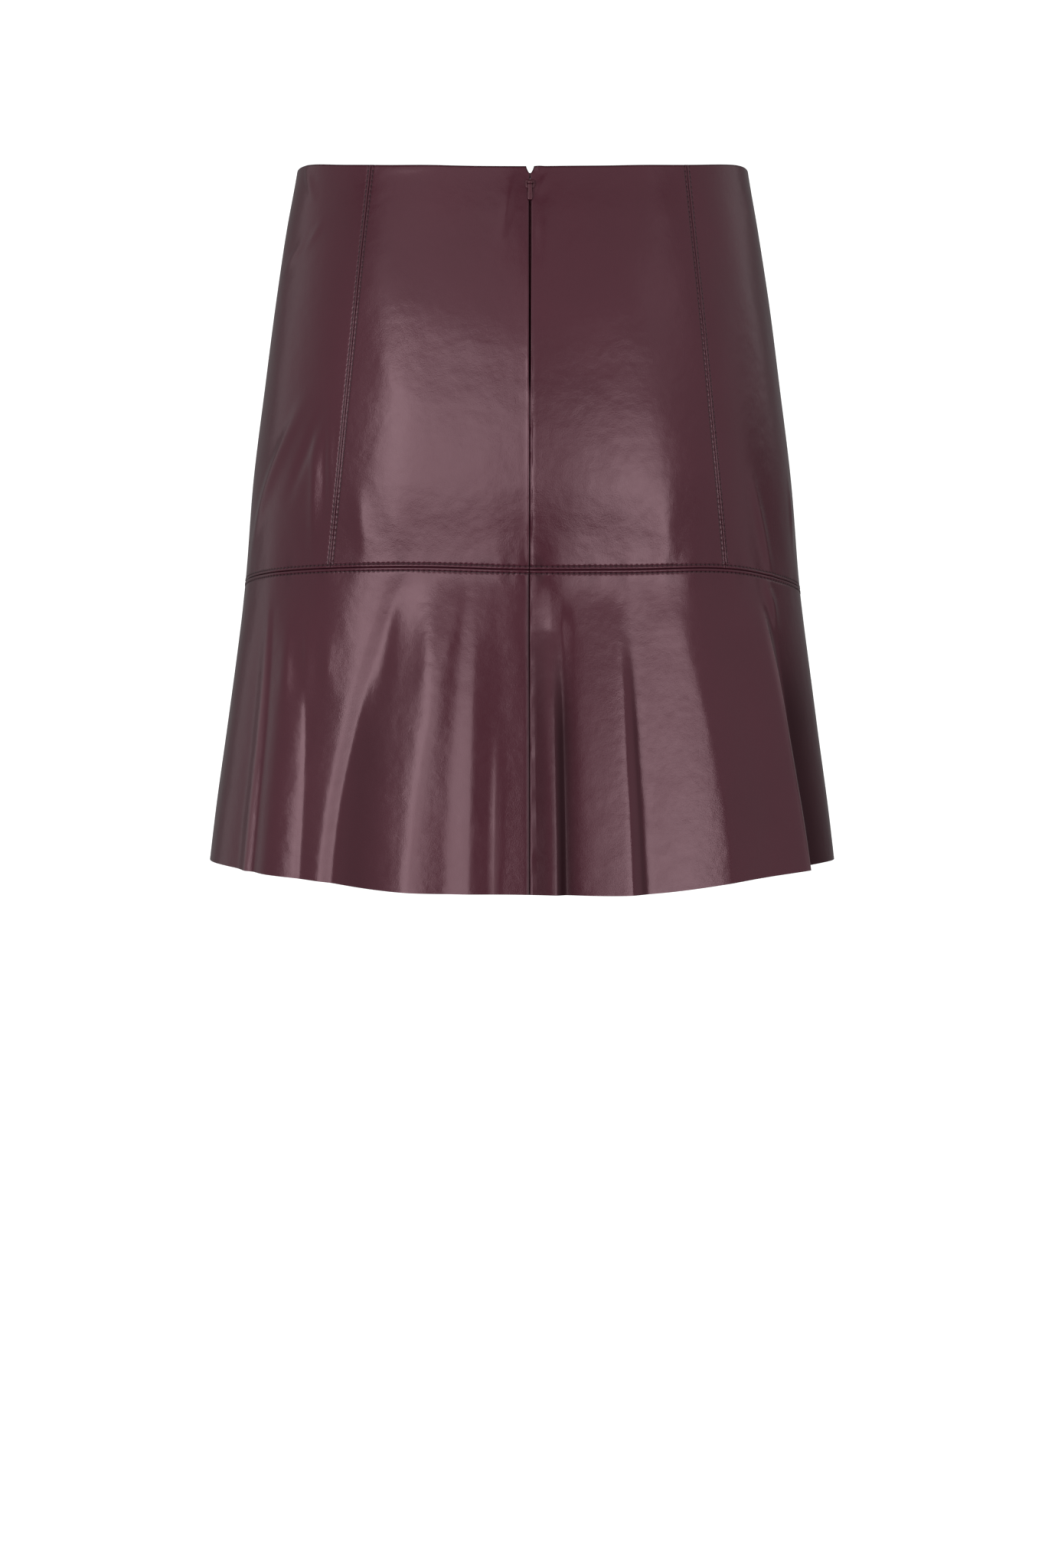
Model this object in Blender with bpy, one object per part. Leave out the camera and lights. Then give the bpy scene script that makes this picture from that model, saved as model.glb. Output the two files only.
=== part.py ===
"""A-line leather mini skirt with a flounce, worn shape, hollow, seen true to size.

Frame: metres, +Z up, origin at the middle of the waist.  The wearer faces +Y, so the
zipped back of the skirt faces -Y and the wearer's right side is at +X.

The whole garment is one surface, skirt_point(angle, height).  The angle runs round the
body from the middle of the back (0 degrees) towards +X (90 degrees is the wearer's right
side, 180 degrees the middle of the front).  Each sewn piece is a wall laid on it.
Sizes below are millimetres and degrees.
"""

from collections import namedtuple
import math

import bmesh
import bpy
from mathutils import Matrix, Vector
import numpy as np

MM = 0.001

# ---------------------------------------------------------------- driving dimensions
WALL = 1.2                 # nappa with its turned and glued edges
EDGE_GAP = 0.2             # each piece stops this far from the seam line
CORNER_FULLNESS = 0.03     # how far the section is fuller than an ellipse

ZIP_END = -153.0           # height where the zip stops and the plain seam begins
ZIP_SLIT = 0.75            # half the slit over the zip
NOTCH_HALF_WIDTH = 2.4     # the small V where the zip opens at the waist
NOTCH_DEPTH = 4.4

COIL_HALF_WIDTH = 2.9
COIL_THICKNESS = 1.4
TAPE_WIDTH = 9.5
TAPE_THICKNESS = 0.8
BEHIND_WALL = 0.6          # clearance between the leather's inside and the zip
TAPE_GAP = 0.4

SLIDER_HEIGHT = -19.5      # height of the pull's pivot
SLIDER_HALF_WIDTH = 2.9
PIVOT_STAND_OFF = 2.8      # pivot bar above the leather
PIVOT_BAR_RADIUS = 0.45
RUNNING_GAP = 0.3
PULL_LENGTH = 11.2
PULL_HALF_WIDTH = 1.2
PULL_END_HALF_WIDTH = 1.42
PULL_THICKNESS = 1.0
PULL_LEAN = 10.0           # degrees the hanging pull tips in towards the leather

BACK_COLUMN = 3.2          # the widest column of the back flounce's mesh, degrees
FRONT_COLUMN = 3.8
FLOUNCE_ROWS = 12

# ---------------------------------------------------------------- short tables
# The worn form at a number of heights: half the width across the hips, and how far
# the back and the front stand from the middle.
Section = namedtuple("Section", "height half_width back_depth front_depth")
SECTIONS = (
    Section(10.0, 142.0, 95.0, 96.0),
    Section(-6.0, 144.5, 98.5, 97.5),
    Section(-40.0, 150.5, 109.5, 101.0),
    Section(-80.0, 156.3, 121.0, 106.0),
    Section(-140.0, 164.0, 128.2, 111.0),
    Section(-200.0, 171.4, 130.8, 114.0),
    Section(-257.0, 176.3, 128.5, 116.0),
    Section(-300.0, 181.0, 130.5, 120.5),
    Section(-360.0, 188.5, 135.0, 128.5),
    Section(-410.0, 195.3, 139.0, 135.5),
    Section(-460.0, 201.0, 143.0, 141.0),
)

# Heights of the waist edge, the hip seam and the hem round the body.
Edge = namedtuple("Edge", "angle waist hip_seam hem")
EDGES = (
    Edge(-180.0, -6.0, -270.0, -449.0),
    Edge(-120.0, -6.0, -270.0, -445.0),
    Edge(-90.0, -6.0, -267.0, -443.0),
    Edge(-66.0, -3.0, -261.0, -443.5),
    Edge(-45.0, -5.0, -257.0, -447.0),
    Edge(-20.0, -7.0, -255.5, -453.0),
    Edge(0.0, -8.0, -257.0, -453.5),
    Edge(20.0, -7.0, -257.0, -455.0),
    Edge(45.0, -5.0, -257.0, -447.5),
    Edge(66.0, -3.0, -264.5, -443.5),
    Edge(90.0, -6.0, -272.0, -443.0),
    Edge(120.0, -6.0, -271.0, -445.0),
    Edge(180.0, -6.0, -270.0, -449.0),
)

# Seams running down, by their distance from the middle plane at the waist and the hem.
Seam = namedtuple("Seam", "at_waist at_hip")
CENTRE_BACK = Seam(4.7, 4.2)
LEFT_BACK = Seam(-93.5, -119.0)
RIGHT_BACK = Seam(101.8, 125.7)

# Fold lines of the flounce, each a ridge or a valley.  The leather runs straight across
# from one to the next and is rounded at each.  A row gives the line's angle at the hem
# and at the hip seam, how far it stands out (+) or sinks in (-) at the hem, the angle
# over which it is rounded, how far it is pushed round over its neighbour at the hem, and
# the share of the drop at which it starts.
FoldLine = namedtuple("FoldLine", "hem hip out rounding over start")
FOLD_LINES = (
    FoldLine(-90.0, -90.0, 0.0, 3.0, 0.0, 0.0),
    FoldLine(-75.0, -77.0, 2.5, 3.0, 0.0, 0.10),
    FoldLine(-57.5, -62.0, -4.0, 0.8, 0.0, 0.12),
    FoldLine(-54.6, -60.0, 0.5, 0.7, 0.0, 0.12),
    FoldLine(-48.5, -50.5, 2.0, 2.5, 0.0, 0.15),
    FoldLine(-45.2, -44.6, 4.5, 0.6, 1.6, 0.20),
    FoldLine(-42.4, -41.4, -2.5, 0.6, -1.2, 0.20),
    FoldLine(-39.4, -31.0, 0.5, 0.9, 0.0, 0.02),
    FoldLine(-35.6, -19.5, -7.5, 0.8, 0.0, 0.02),
    FoldLine(-24.5, -13.0, 0.0, 2.2, 0.0, 0.03),
    FoldLine(-15.8, -11.2, -6.0, 1.3, 0.0, 0.12),
    FoldLine(-10.2, -9.4, -2.0, 1.0, 0.0, 0.03),
    FoldLine(-8.2, -7.8, -0.5, 0.8, 0.0, 0.04),
    FoldLine(-6.0, -5.6, 5.0, 0.7, 0.0, 0.04),
    FoldLine(-2.4, -2.4, 10.0, 1.6, 0.0, 0.02),
    FoldLine(4.7, 4.8, 11.0, 0.9, 0.0, 0.02),
    FoldLine(7.0, 7.0, 5.0, 0.6, 0.0, 0.15),
    FoldLine(10.4, 9.4, 9.0, 1.2, 0.0, 0.04),
    FoldLine(20.0, 18.6, 2.0, 0.8, 0.0, 0.10),
    FoldLine(21.6, 19.8, -3.0, 0.5, 0.0, 0.14),
    FoldLine(23.2, 21.2, -1.5, 0.7, 0.0, 0.10),
    FoldLine(38.4, 28.5, 3.5, 0.9, 0.0, 0.02),
    FoldLine(48.0, 41.0, 0.0, 4.0, 0.0, 0.04),
    FoldLine(59.0, 52.5, 4.5, 0.8, 0.0, 0.08),
    FoldLine(63.8, 57.0, -6.5, 1.2, 0.0, 0.10),
    FoldLine(80.0, 79.0, 1.0, 4.0, 0.0, 0.10),
    FoldLine(90.0, 90.0, 0.0, 3.0, 0.0, 0.0),
    FoldLine(104.0, 106.0, -6.0, 3.0, 0.0, 0.08),
    FoldLine(121.0, 119.0, 5.5, 3.5, 0.0, 0.14),
    FoldLine(136.0, 141.0, -7.0, 2.5, 0.0, 0.05),
    FoldLine(154.0, 151.0, 5.0, 4.0, 0.0, 0.20),
    FoldLine(170.0, 168.0, -5.0, 2.5, 0.0, 0.12),
    FoldLine(184.0, 187.0, 6.0, 3.0, 0.0, 0.06),
    FoldLine(202.0, 200.0, -6.5, 2.5, 0.0, 0.15),
    FoldLine(219.0, 223.0, 6.0, 4.0, 0.0, 0.08),
    FoldLine(237.0, 235.0, -5.5, 3.0, 0.0, 0.18),
    FoldLine(254.0, 255.0, 4.5, 4.0, 0.0, 0.10),
)
FOLD_EASE = 0.6            # the smaller, the faster a fold deepens under the hip seam
FOLD_ONSET = 0.04          # the share of the drop over which a fold begins softly


# ---------------------------------------------------------------- the garment's surface
def smooth(rows, key, value, where):
    """Curve through a table's rows: a cubic between neighbours, sloped by the rows
    either side of each."""
    rows = sorted(rows, key=lambda row: getattr(row, key))
    keys = np.array([getattr(row, key) for row in rows])
    values = np.array([getattr(row, value) for row in rows])
    slopes = np.gradient(values, keys)
    where = np.clip(where, keys[0], keys[-1])
    index = np.clip(np.searchsorted(keys, where, side="right") - 1, 0, len(keys) - 2)
    span = keys[index + 1] - keys[index]
    u = (where - keys[index]) / span
    return (values[index] * (2 * u**3 - 3 * u**2 + 1)
            + values[index + 1] * (3 * u**2 - 2 * u**3)
            + slopes[index] * span * (u**3 - 2 * u**2 + u)
            + slopes[index + 1] * span * (u**3 - u**2))


def turned(angle):
    """The same angle within -180 to 180 degrees."""
    return (np.asarray(angle, dtype=float) + 180.0) % 360.0 - 180.0


def edge_height(edge, angle):
    return smooth(EDGES, "angle", edge, turned(angle))


def drop_share(angle, height):
    """How far down the flounce a point is: 0 at the hip seam, 1 at the hem."""
    top = edge_height("hip_seam", angle)
    return np.clip((top - height) / (top - edge_height("hem", angle)), 0.0, 1.1)


def line_angle(line, down):
    """A fold line leaves the hip seam aslant and hangs straighter towards the hem."""
    leaning = np.where(down < 1.0, 1.0 - (1.0 - down) ** 2, 1.0)
    return line.hip + (line.hem - line.hip) * leaning


def fold_shape(angle, height):
    """How far the folds move a point out, and how far round in degrees: a straight
    course from each fold line to the next, with hyperbola-rounded corners."""
    down = drop_share(angle, height)
    places = [line_angle(line, down) for line in FOLD_LINES]
    out = np.zeros(np.broadcast(angle, height).shape)
    over = np.zeros(out.shape)
    for number, line in enumerate(FOLD_LINES):
        before = number - 1
        after = (number + 1) % len(FOLD_LINES)
        gap_before = turned(places[number] - places[before])
        gap_after = turned(places[after] - places[number])
        hat = (corner(angle - places[before], FOLD_LINES[before].rounding) / gap_before
               - corner(angle - places[number], line.rounding)
               * (1.0 / gap_before + 1.0 / gap_after)
               + corner(angle - places[after], FOLD_LINES[after].rounding) / gap_after) / 2.0
        near = np.abs(turned(angle - places[number])) < 80.0
        grown = growth((down - line.start) / (1.0 - line.start))
        out = out + line.out * grown * hat * near
        over = over + line.over * grown * hat * near
    return out, over


def growth(share):
    """A fold's share of its full depth: nothing above its start, 1 at the hem."""
    share = np.clip(share, 0.0, 1.1)
    soft = np.hypot(share, FOLD_ONSET) - FOLD_ONSET
    return soft * (1.0 + FOLD_EASE) / (soft + FOLD_EASE)


def corner(aside, rounding):
    """The distance from a fold line, rounded at the line itself."""
    return np.sqrt(turned(aside) ** 2 + rounding**2)


def plain_point(angle, height):
    """The form without folds: an ellipse a little full at its corners, with separate
    depths for the back and the front."""
    turn = np.radians(angle)
    half_width = smooth(SECTIONS, "height", "half_width", height)
    back = smooth(SECTIONS, "height", "back_depth", height)
    front = smooth(SECTIONS, "height", "front_depth", height)
    fullness = 1.0 + CORNER_FULLNESS * np.sin(2.0 * turn) ** 2
    depth = np.where(np.cos(turn) > 0.0, back, front)
    x = half_width * np.sin(turn) * fullness
    y = -depth * np.cos(turn) * fullness
    return np.stack(np.broadcast_arrays(x, y, height), axis=-1)


def sideways(angle, height):
    """Unit vector pointing level and out of the plain form."""
    step = 0.05
    along = plain_point(angle + step, height) - plain_point(angle - step, height)
    out = np.stack([along[..., 1], -along[..., 0], np.zeros(along.shape[:-1])], axis=-1)
    return out / np.linalg.norm(out, axis=-1, keepdims=True)


def skirt_point(angle, height, offset=0.0):
    """A point of the leather's outer face, moved out by offset along the face's own
    normal."""
    point = folded_point(angle, height)
    if np.all(np.asarray(offset) == 0.0):
        return point
    return point + face_normal(angle, height) * np.asarray(offset)[..., None]


def folded_point(angle, height):
    """The plain form moved level and outwards, and round, by the folds."""
    out, over = fold_shape(angle, height)
    return plain_point(angle + over, height) + sideways(angle + over, height) * out[..., None]


def face_normal(angle, height):
    """The outer face's unit normal, from its slopes along the angle and the height."""
    turn, rise = 0.2, 0.5
    around = folded_point(angle + turn, height) - folded_point(angle - turn, height)
    up = folded_point(angle, height + rise) - folded_point(angle, height - rise)
    normal = np.cross(around, up)
    return normal / np.linalg.norm(normal, axis=-1, keepdims=True)


def angle_at(distance, height):
    """The angle on the back where the plain form is this far from the middle plane."""
    half_width = smooth(SECTIONS, "height", "half_width", height)
    share = distance / half_width
    turn = np.arcsin(share)
    for _ in range(6):
        turn = np.arcsin(share / (1.0 + CORNER_FULLNESS * np.sin(2.0 * turn) ** 2))
    return np.degrees(turn)


def seam_angle(seam, height):
    """The angle of a seam that runs from the waist to the hip and straight on down."""
    share = np.clip(-height / 257.0, 0.0, 1.0)
    return angle_at(seam.at_waist + (seam.at_hip - seam.at_waist) * share, height)


def slit_half_width(height):
    """Half the space between the two back pieces: a notch at the waist, the slit over
    the zip, and below it only the seam's own gap."""
    below_waist = edge_height("waist", 0.0) - height
    notch = NOTCH_HALF_WIDTH + (ZIP_SLIT - NOTCH_HALF_WIDTH) * below_waist / NOTCH_DEPTH
    slit = np.where(height > ZIP_END, ZIP_SLIT, EDGE_GAP)
    return np.where(below_waist < NOTCH_DEPTH, notch, slit)


# ---------------------------------------------------------------- walls and small solids
def material(name, colour, roughness, metallic=0.0):
    made = bpy.data.materials.new(name)
    made.use_nodes = True
    shader = made.node_tree.nodes["Principled BSDF"]
    shader.inputs["Base Color"].default_value = (*colour, 1.0)
    shader.inputs["Roughness"].default_value = roughness
    shader.inputs["Metallic"].default_value = metallic
    return made


def solid(name, points, faces, finish, place=Matrix.Identity(4)):
    """A named object from points in millimetres."""
    mesh = bpy.data.meshes.new(name)
    mesh.from_pydata([tuple(point * MM) for point in points], [], faces)
    mesh.materials.append(finish)
    made = bpy.data.objects.new(name, mesh)
    made.matrix_world = place
    bpy.context.collection.objects.link(made)
    mesh.update()
    mesh.shade_smooth()
    mesh.set_sharp_from_angle(angle=math.radians(40.0))
    return made


def wall(name, outer, inner, finish):
    """A closed wall between two grids of the same size.  Rows run down and columns run
    towards the higher angle."""
    rows, columns = outer.shape[:2]
    count = rows * columns
    points = np.concatenate([outer.reshape(-1, 3), inner.reshape(-1, 3)])
    faces = []
    for row in range(rows - 1):
        for column in range(columns - 1):
            first = row * columns + column
            below = first + columns
            faces.append((first, below, below + 1, first + 1))
            faces.append((first + count, first + 1 + count, below + 1 + count, below + count))
    around = [(0, column) for column in range(columns - 1)]
    around += [(row, columns - 1) for row in range(rows - 1)]
    around += [(rows - 1, column) for column in range(columns - 1, 0, -1)]
    around += [(row, 0) for row in range(rows - 1, 0, -1)]
    rim = [row * columns + column for row, column in around]
    for here, there in zip(rim, rim[1:] + rim[:1]):
        faces.append((here, there, there + count, here + count))
    return solid(name, points, faces, finish)


def panel(name, left, right, top, bottom, columns, rows, finish):
    """A sewn piece.  left and right give its side edges' angle at a height, top and
    bottom its other edges' height at an angle, columns and rows the shares across and
    down at which it has points."""
    across = np.asarray(columns)[None, :]
    down = np.asarray(rows)[:, None]
    height = np.full(np.broadcast(across, down).shape, -150.0)
    for _ in range(4):
        angle = left(height) + (right(height) - left(height)) * across
        height = top(angle) + (bottom(angle) - top(angle)) * down
    outer = skirt_point(angle, height)
    inner = skirt_point(angle, height, np.full(angle.shape, -WALL))
    return wall(name, outer, inner, finish)


def beside(seam, side):
    """The edge of a piece that stops just before (-1) or just after (+1) a seam."""
    def edge(height):
        gap = slit_half_width(height) if seam is CENTRE_BACK else EDGE_GAP
        return seam_angle(seam, height) + side * np.degrees(gap / 105.0 * arm(seam, height))
    return edge


def arm(seam, height):
    """Turns a gap's width at a seam into an angle: the seam's distance along the back
    for one radian, against the 105 mm used in beside."""
    step = 0.5
    angle = seam_angle(seam, height)
    moved = plain_point(angle + step, height) - plain_point(angle - step, height)
    return 105.0 * math.radians(2.0 * step) / np.linalg.norm(moved, axis=-1)


def fixed(angle):
    """The straight edge of a piece at a side seam."""
    return lambda height: np.full(np.shape(height), angle)


def between(edge, shift):
    return lambda angle: edge_height(edge, angle) + shift


def strip(name, from_side, to_side, near, far, top, bottom, rows, finish):
    """A band behind the back seam: from_side and to_side are its edges' distances from
    the seam, near and far the depths of its two faces behind the leather's outer face."""
    heights = np.linspace(top, bottom, rows)[:, None]
    sides = np.array([[from_side, to_side]])
    base = seam_angle(CENTRE_BACK, heights)
    angle = base + np.degrees(sides / 105.0 * arm(CENTRE_BACK, heights))
    height = heights + 0.0 * angle
    outer = skirt_point(angle, height, np.full(angle.shape, -near))
    inner = skirt_point(angle, height, np.full(angle.shape, -far))
    return wall(name, outer, inner, finish)


# ---------------------------------------------------------------- the sewn pieces
def shares(count):
    return np.linspace(0.0, 1.0, count + 1)


# The first rows follow the notch at the waist, the rest are even.
BODY_ROWS = np.concatenate([[0.0, 0.0088, 0.0176, 0.05], np.linspace(0.11, 0.55, 6),
                            [0.585, 0.595], np.linspace(0.68, 1.0, 5)])


def make_body(finish):
    waist = between("waist", 0.0)
    hip = between("hip_seam", EDGE_GAP)
    side = math.degrees(EDGE_GAP / 110.0)
    pieces = (
        ("back_left", beside(LEFT_BACK, 1), beside(CENTRE_BACK, -1), 7),
        ("back_right", beside(CENTRE_BACK, 1), beside(RIGHT_BACK, -1), 7),
        ("side_back_left", fixed(-90.0 + side), beside(LEFT_BACK, -1), 8),
        ("side_back_right", beside(RIGHT_BACK, 1), fixed(90.0 - side), 8),
    )
    for name, left, right, columns in pieces:
        panel(name, left, right, waist, hip, shares(columns), BODY_ROWS, finish)
    panel("front", fixed(90.0 + side), fixed(270.0 - side), waist, hip,
          shares(30), shares(12), finish)


def fold_columns(first, last, widest):
    """Places across the flounce, as fold line numbers with a fraction towards the next:
    on each line, at the two ends of its rounding, and evenly between so that no column
    is wider than widest at the hem."""
    columns = []
    for number in range(first, last):
        line = FOLD_LINES[number]
        following = FOLD_LINES[number + 1]
        gap = following.hem - line.hem
        start = min(line.rounding / gap, 0.35)
        end = 1.0 - min(following.rounding / gap, 0.35)
        inner = max(1, math.ceil((end - start) * gap / widest))
        columns.append(float(number))
        columns += [number + start + (end - start) * step / inner
                    for step in range(inner + 1)]
    return columns + [float(last)]


def flounce_panel(name, left, right, columns, rows, finish):
    """A flounce piece whose columns follow the fold lines.  Its outermost columns follow
    the side edges left and right instead."""
    index = np.floor(columns).astype(int)
    index = np.minimum(index, len(FOLD_LINES) - 1)
    fraction = np.asarray(columns) - index
    down = np.asarray(rows)[:, None]
    lines = [line_angle(line, np.asarray(rows)) for line in FOLD_LINES]
    lines.append(lines[0] + 360.0)
    lines = np.stack(lines, axis=1)
    angle = lines[:, index] * (1.0 - fraction) + lines[:, index + 1] * fraction
    top = between("hip_seam", -EDGE_GAP)
    hem = between("hem", 0.0)
    height = top(angle) + (hem(angle) - top(angle)) * down
    for _ in range(3):
        angle[:, 0] = left(height[:, 0])
        angle[:, -1] = right(height[:, -1])
        height = top(angle) + (hem(angle) - top(angle)) * down
    outer = skirt_point(angle, height)
    inner = skirt_point(angle, height, np.full(angle.shape, -WALL))
    return wall(name, outer, inner, finish)


def make_flounce(finish):
    """The back flounce is two pieces joined under the zip, the front is one.  The back's
    fold lines start at the left side seam, number 0."""
    side = math.degrees(EDGE_GAP / 110.0)
    hem_angles = [line.hem for line in FOLD_LINES]
    left_of_middle = hem_angles.index(-2.4)
    right_side = hem_angles.index(90.0)
    left_columns = fold_columns(0, left_of_middle, BACK_COLUMN) + [left_of_middle + 0.5]
    right_columns = [left_of_middle + 0.5] + fold_columns(left_of_middle + 1, right_side,
                                                          BACK_COLUMN)
    front_columns = fold_columns(right_side, len(FOLD_LINES) - 1, FRONT_COLUMN)
    gap_home = 270.0 - FOLD_LINES[-1].hem
    steps = math.ceil(gap_home / FRONT_COLUMN)
    front_columns += [len(FOLD_LINES) - 1 + step / steps for step in range(1, steps + 1)]
    front_columns[-1] = len(FOLD_LINES) - 0.001
    flounce_panel("flounce_back_left", fixed(-90.0 + side), beside(CENTRE_BACK, -1),
                  left_columns, shares(FLOUNCE_ROWS), finish)
    flounce_panel("flounce_back_right", beside(CENTRE_BACK, 1), fixed(90.0 - side),
                  right_columns, shares(FLOUNCE_ROWS), finish)
    flounce_panel("flounce_front", fixed(90.0 + side), fixed(270.0 - side),
                  front_columns, shares(FLOUNCE_ROWS - 2), finish)


# ---------------------------------------------------------------- the zip
def make_zip_strips(tape_finish, coil_finish):
    behind = WALL + BEHIND_WALL
    strip("zip_coil", -COIL_HALF_WIDTH, COIL_HALF_WIDTH, behind, behind + COIL_THICKNESS,
          SLIDER_HEIGHT - 5.5, ZIP_END - 6.0, 14, coil_finish)
    inner_edge = COIL_HALF_WIDTH + TAPE_GAP
    outer_edge = inner_edge + TAPE_WIDTH
    for name, from_side, to_side in (("zip_tape_left", -outer_edge, -inner_edge),
                                     ("zip_tape_right", inner_edge, outer_edge)):
        strip(name, from_side, to_side, behind, behind + TAPE_THICKNESS,
              -11.0, ZIP_END - 18.0, 14, tape_finish)


def slider_place():
    """Where the slider sits: its own X lies across the zip, its Y points out of the
    leather and its Z up along the zip, with its origin on the leather."""
    height = np.array(SLIDER_HEIGHT)
    angle = seam_angle(CENTRE_BACK, height)
    base = Vector(folded_point(angle, height)) * MM
    rise = 2.0
    above = folded_point(angle, height + rise)
    below = folded_point(angle, height - rise)
    up = Vector((0.0, above[1] - below[1], above[2] - below[2])).normalized()
    across = Vector((1.0, 0.0, 0.0))
    out = across.cross(up)
    turn = Matrix((across, out, up)).transposed().to_4x4()
    return Matrix.Translation(base) @ turn


def block(low, high):
    """The eight corners and six faces of a box."""
    points = [Vector((x, y, z)) for x in (low[0], high[0])
              for y in (low[1], high[1]) for z in (low[2], high[2])]
    faces = [(0, 1, 3, 2), (4, 6, 7, 5), (0, 4, 5, 1), (2, 3, 7, 6), (0, 2, 6, 4), (1, 5, 7, 3)]
    return points, faces


def extruded(outline, low, high):
    """A flat outline of (y, z) points carried from x=low to x=high."""
    count = len(outline)
    points = [Vector((x, y, z)) for x in (low, high) for y, z in outline]
    faces = [tuple(range(count)), tuple(range(2 * count - 1, count - 1, -1))]
    for here in range(count):
        there = (here + 1) % count
        faces.append((here, here + count, there + count, there))
    return points, faces


def arc(centre_y, centre_z, radius, start, end, count):
    turns = np.radians(np.linspace(start, end, count))
    return [(centre_y + radius * math.cos(t), centre_z + radius * math.sin(t)) for t in turns]


def joined(name, shapes, place, finish):
    """One closed body from overlapping shapes, by Boolean unions."""
    objects = []
    for number, (points, faces) in enumerate(shapes):
        made = solid(f"{name}_shape_{number}", points, faces, finish, place)
        shape = bmesh.new()
        shape.from_mesh(made.data)
        bmesh.ops.recalc_face_normals(shape, faces=shape.faces)
        shape.to_mesh(made.data)
        shape.free()
        objects.append(made)
    base = objects[0]
    for other in objects[1:]:
        union = base.modifiers.new("union", "BOOLEAN")
        union.operation = "UNION"
        union.object = other
    bpy.context.view_layer.update()
    evaluated = base.evaluated_get(bpy.context.evaluated_depsgraph_get())
    mesh = bpy.data.meshes.new_from_object(evaluated)
    for made in objects:
        bpy.data.objects.remove(made)
    whole = bpy.data.objects.new(name, mesh)
    whole.matrix_world = place
    bpy.context.collection.objects.link(whole)
    return whole


def make_slider(place, finish):
    """The slider: a body behind the slit, a neck through it, a plate on the outside and
    a bail of two lugs and a bar that carries the pull."""
    half = SLIDER_HALF_WIDTH
    behind = -(WALL + BEHIND_WALL)
    neck_half = ZIP_SLIT - RUNNING_GAP
    plate_low, plate_high = 0.35, 1.15
    bar_out = PIVOT_STAND_OFF
    lug_inner = PULL_HALF_WIDTH + RUNNING_GAP
    lug_outer = lug_inner + 0.7
    shapes = [
        block((-half, behind - 2.4, -4.6), (half, behind, 4.2)),
        block((-neck_half, behind - 0.5, -2.2), (neck_half, plate_low + 0.2, 2.2)),
        block((-half, plate_low, -3.0), (half, plate_high, 3.0)),
    ]
    lug = [(plate_high - 0.3, -1.3)] + arc(bar_out, 0.0, 0.75, -70.0, 70.0, 7)
    lug += [(plate_high - 0.3, 1.3)]
    for side in (-1.0, 1.0):
        low, high = sorted((side * lug_inner, side * lug_outer))
        shapes.append(extruded(lug, low, high))
    bar = arc(bar_out, 0.0, PIVOT_BAR_RADIUS, 0.0, 330.0, 12)
    shapes.append(extruded(bar, -lug_outer + 0.2, lug_outer - 0.2))
    return joined("zip_slider", shapes, place, finish)


def make_pull(place, finish):
    """The pull tab: an eye round the bail's bar and a narrow blade with a rounded, a
    little wider end.  Its object's origin is on the pivot."""
    hole = PIVOT_BAR_RADIUS + RUNNING_GAP
    eye = hole + 0.6
    steps = 16
    outline_out = arc(0.0, 0.0, eye, 0.0, 360.0 - 360.0 / steps, steps)
    outline_in = arc(0.0, 0.0, hole, 0.0, 360.0 - 360.0 / steps, steps)
    points = [Vector((x, y, z)) for x in (-PULL_HALF_WIDTH, PULL_HALF_WIDTH)
              for y, z in outline_out + outline_in]
    side = 2 * steps
    faces = []
    for here in range(steps):
        there = (here + 1) % steps
        faces.append((here, there, there + steps, here + steps))
        faces.append((side + here, side + here + steps, side + there + steps, side + there))
        faces.append((here, side + here, side + there, there))
        faces.append((steps + here, steps + there, side + steps + there, side + steps + here))
    half = PULL_THICKNESS / 2
    end_centre = -(PULL_LENGTH - PULL_END_HALF_WIDTH)
    blade = [(PULL_HALF_WIDTH, -hole - 0.15), (PULL_HALF_WIDTH, -4.0),
             (PULL_END_HALF_WIDTH, -7.5)]
    blade += arc(0.0, end_centre, PULL_END_HALF_WIDTH, 0.0, -180.0, 9)
    blade += [(-PULL_END_HALF_WIDTH, -7.5), (-PULL_HALF_WIDTH, -4.0),
              (-PULL_HALF_WIDTH, -hole - 0.15)]
    count = len(blade)
    blade_points = [Vector((x, y, z)) for y in (-half, half) for x, z in blade]
    blade_faces = [tuple(range(count)), tuple(range(2 * count - 1, count - 1, -1))]
    blade_faces += [(i, (i + 1) % count, (i + 1) % count + count, i + count)
                    for i in range(count)]
    pivot = place @ Matrix.Translation((0.0, PIVOT_STAND_OFF * MM, 0.0))
    hanging = pivot @ Matrix.Rotation(math.radians(-PULL_LEAN), 4, "X")
    return joined("zip_pull_tab", [(points, faces), (blade_points, blade_faces)],
                  hanging, finish)


def main():
    for old in list(bpy.data.objects):
        bpy.data.objects.remove(old)
    body_leather = material("burgundy nappa, body", (0.095, 0.035, 0.047), 0.38)
    flounce_leather = material("burgundy nappa, flounce", (0.095, 0.035, 0.047), 0.38)
    tape = material("burgundy zip tape", (0.060, 0.020, 0.030), 0.85)
    coil = material("burgundy zip coil", (0.070, 0.022, 0.032), 0.45)
    painted = material("burgundy painted metal", (0.090, 0.030, 0.042), 0.30, 0.6)
    make_body(body_leather)
    make_flounce(flounce_leather)
    make_zip_strips(tape, coil)
    place = slider_place()
    make_slider(place, painted)
    make_pull(place, painted)


main()
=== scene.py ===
"""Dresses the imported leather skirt: nappa panels with turned seams, folds and creases,
topstitching, the concealed zip with its slider and pull, and a plain stage.

Lengths in the shape functions are millimetres.  Angles are degrees round the body, from the
middle of the back (0) towards the wearer's right side (90) and the front (180).
"""

from collections import namedtuple
import math

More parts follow.
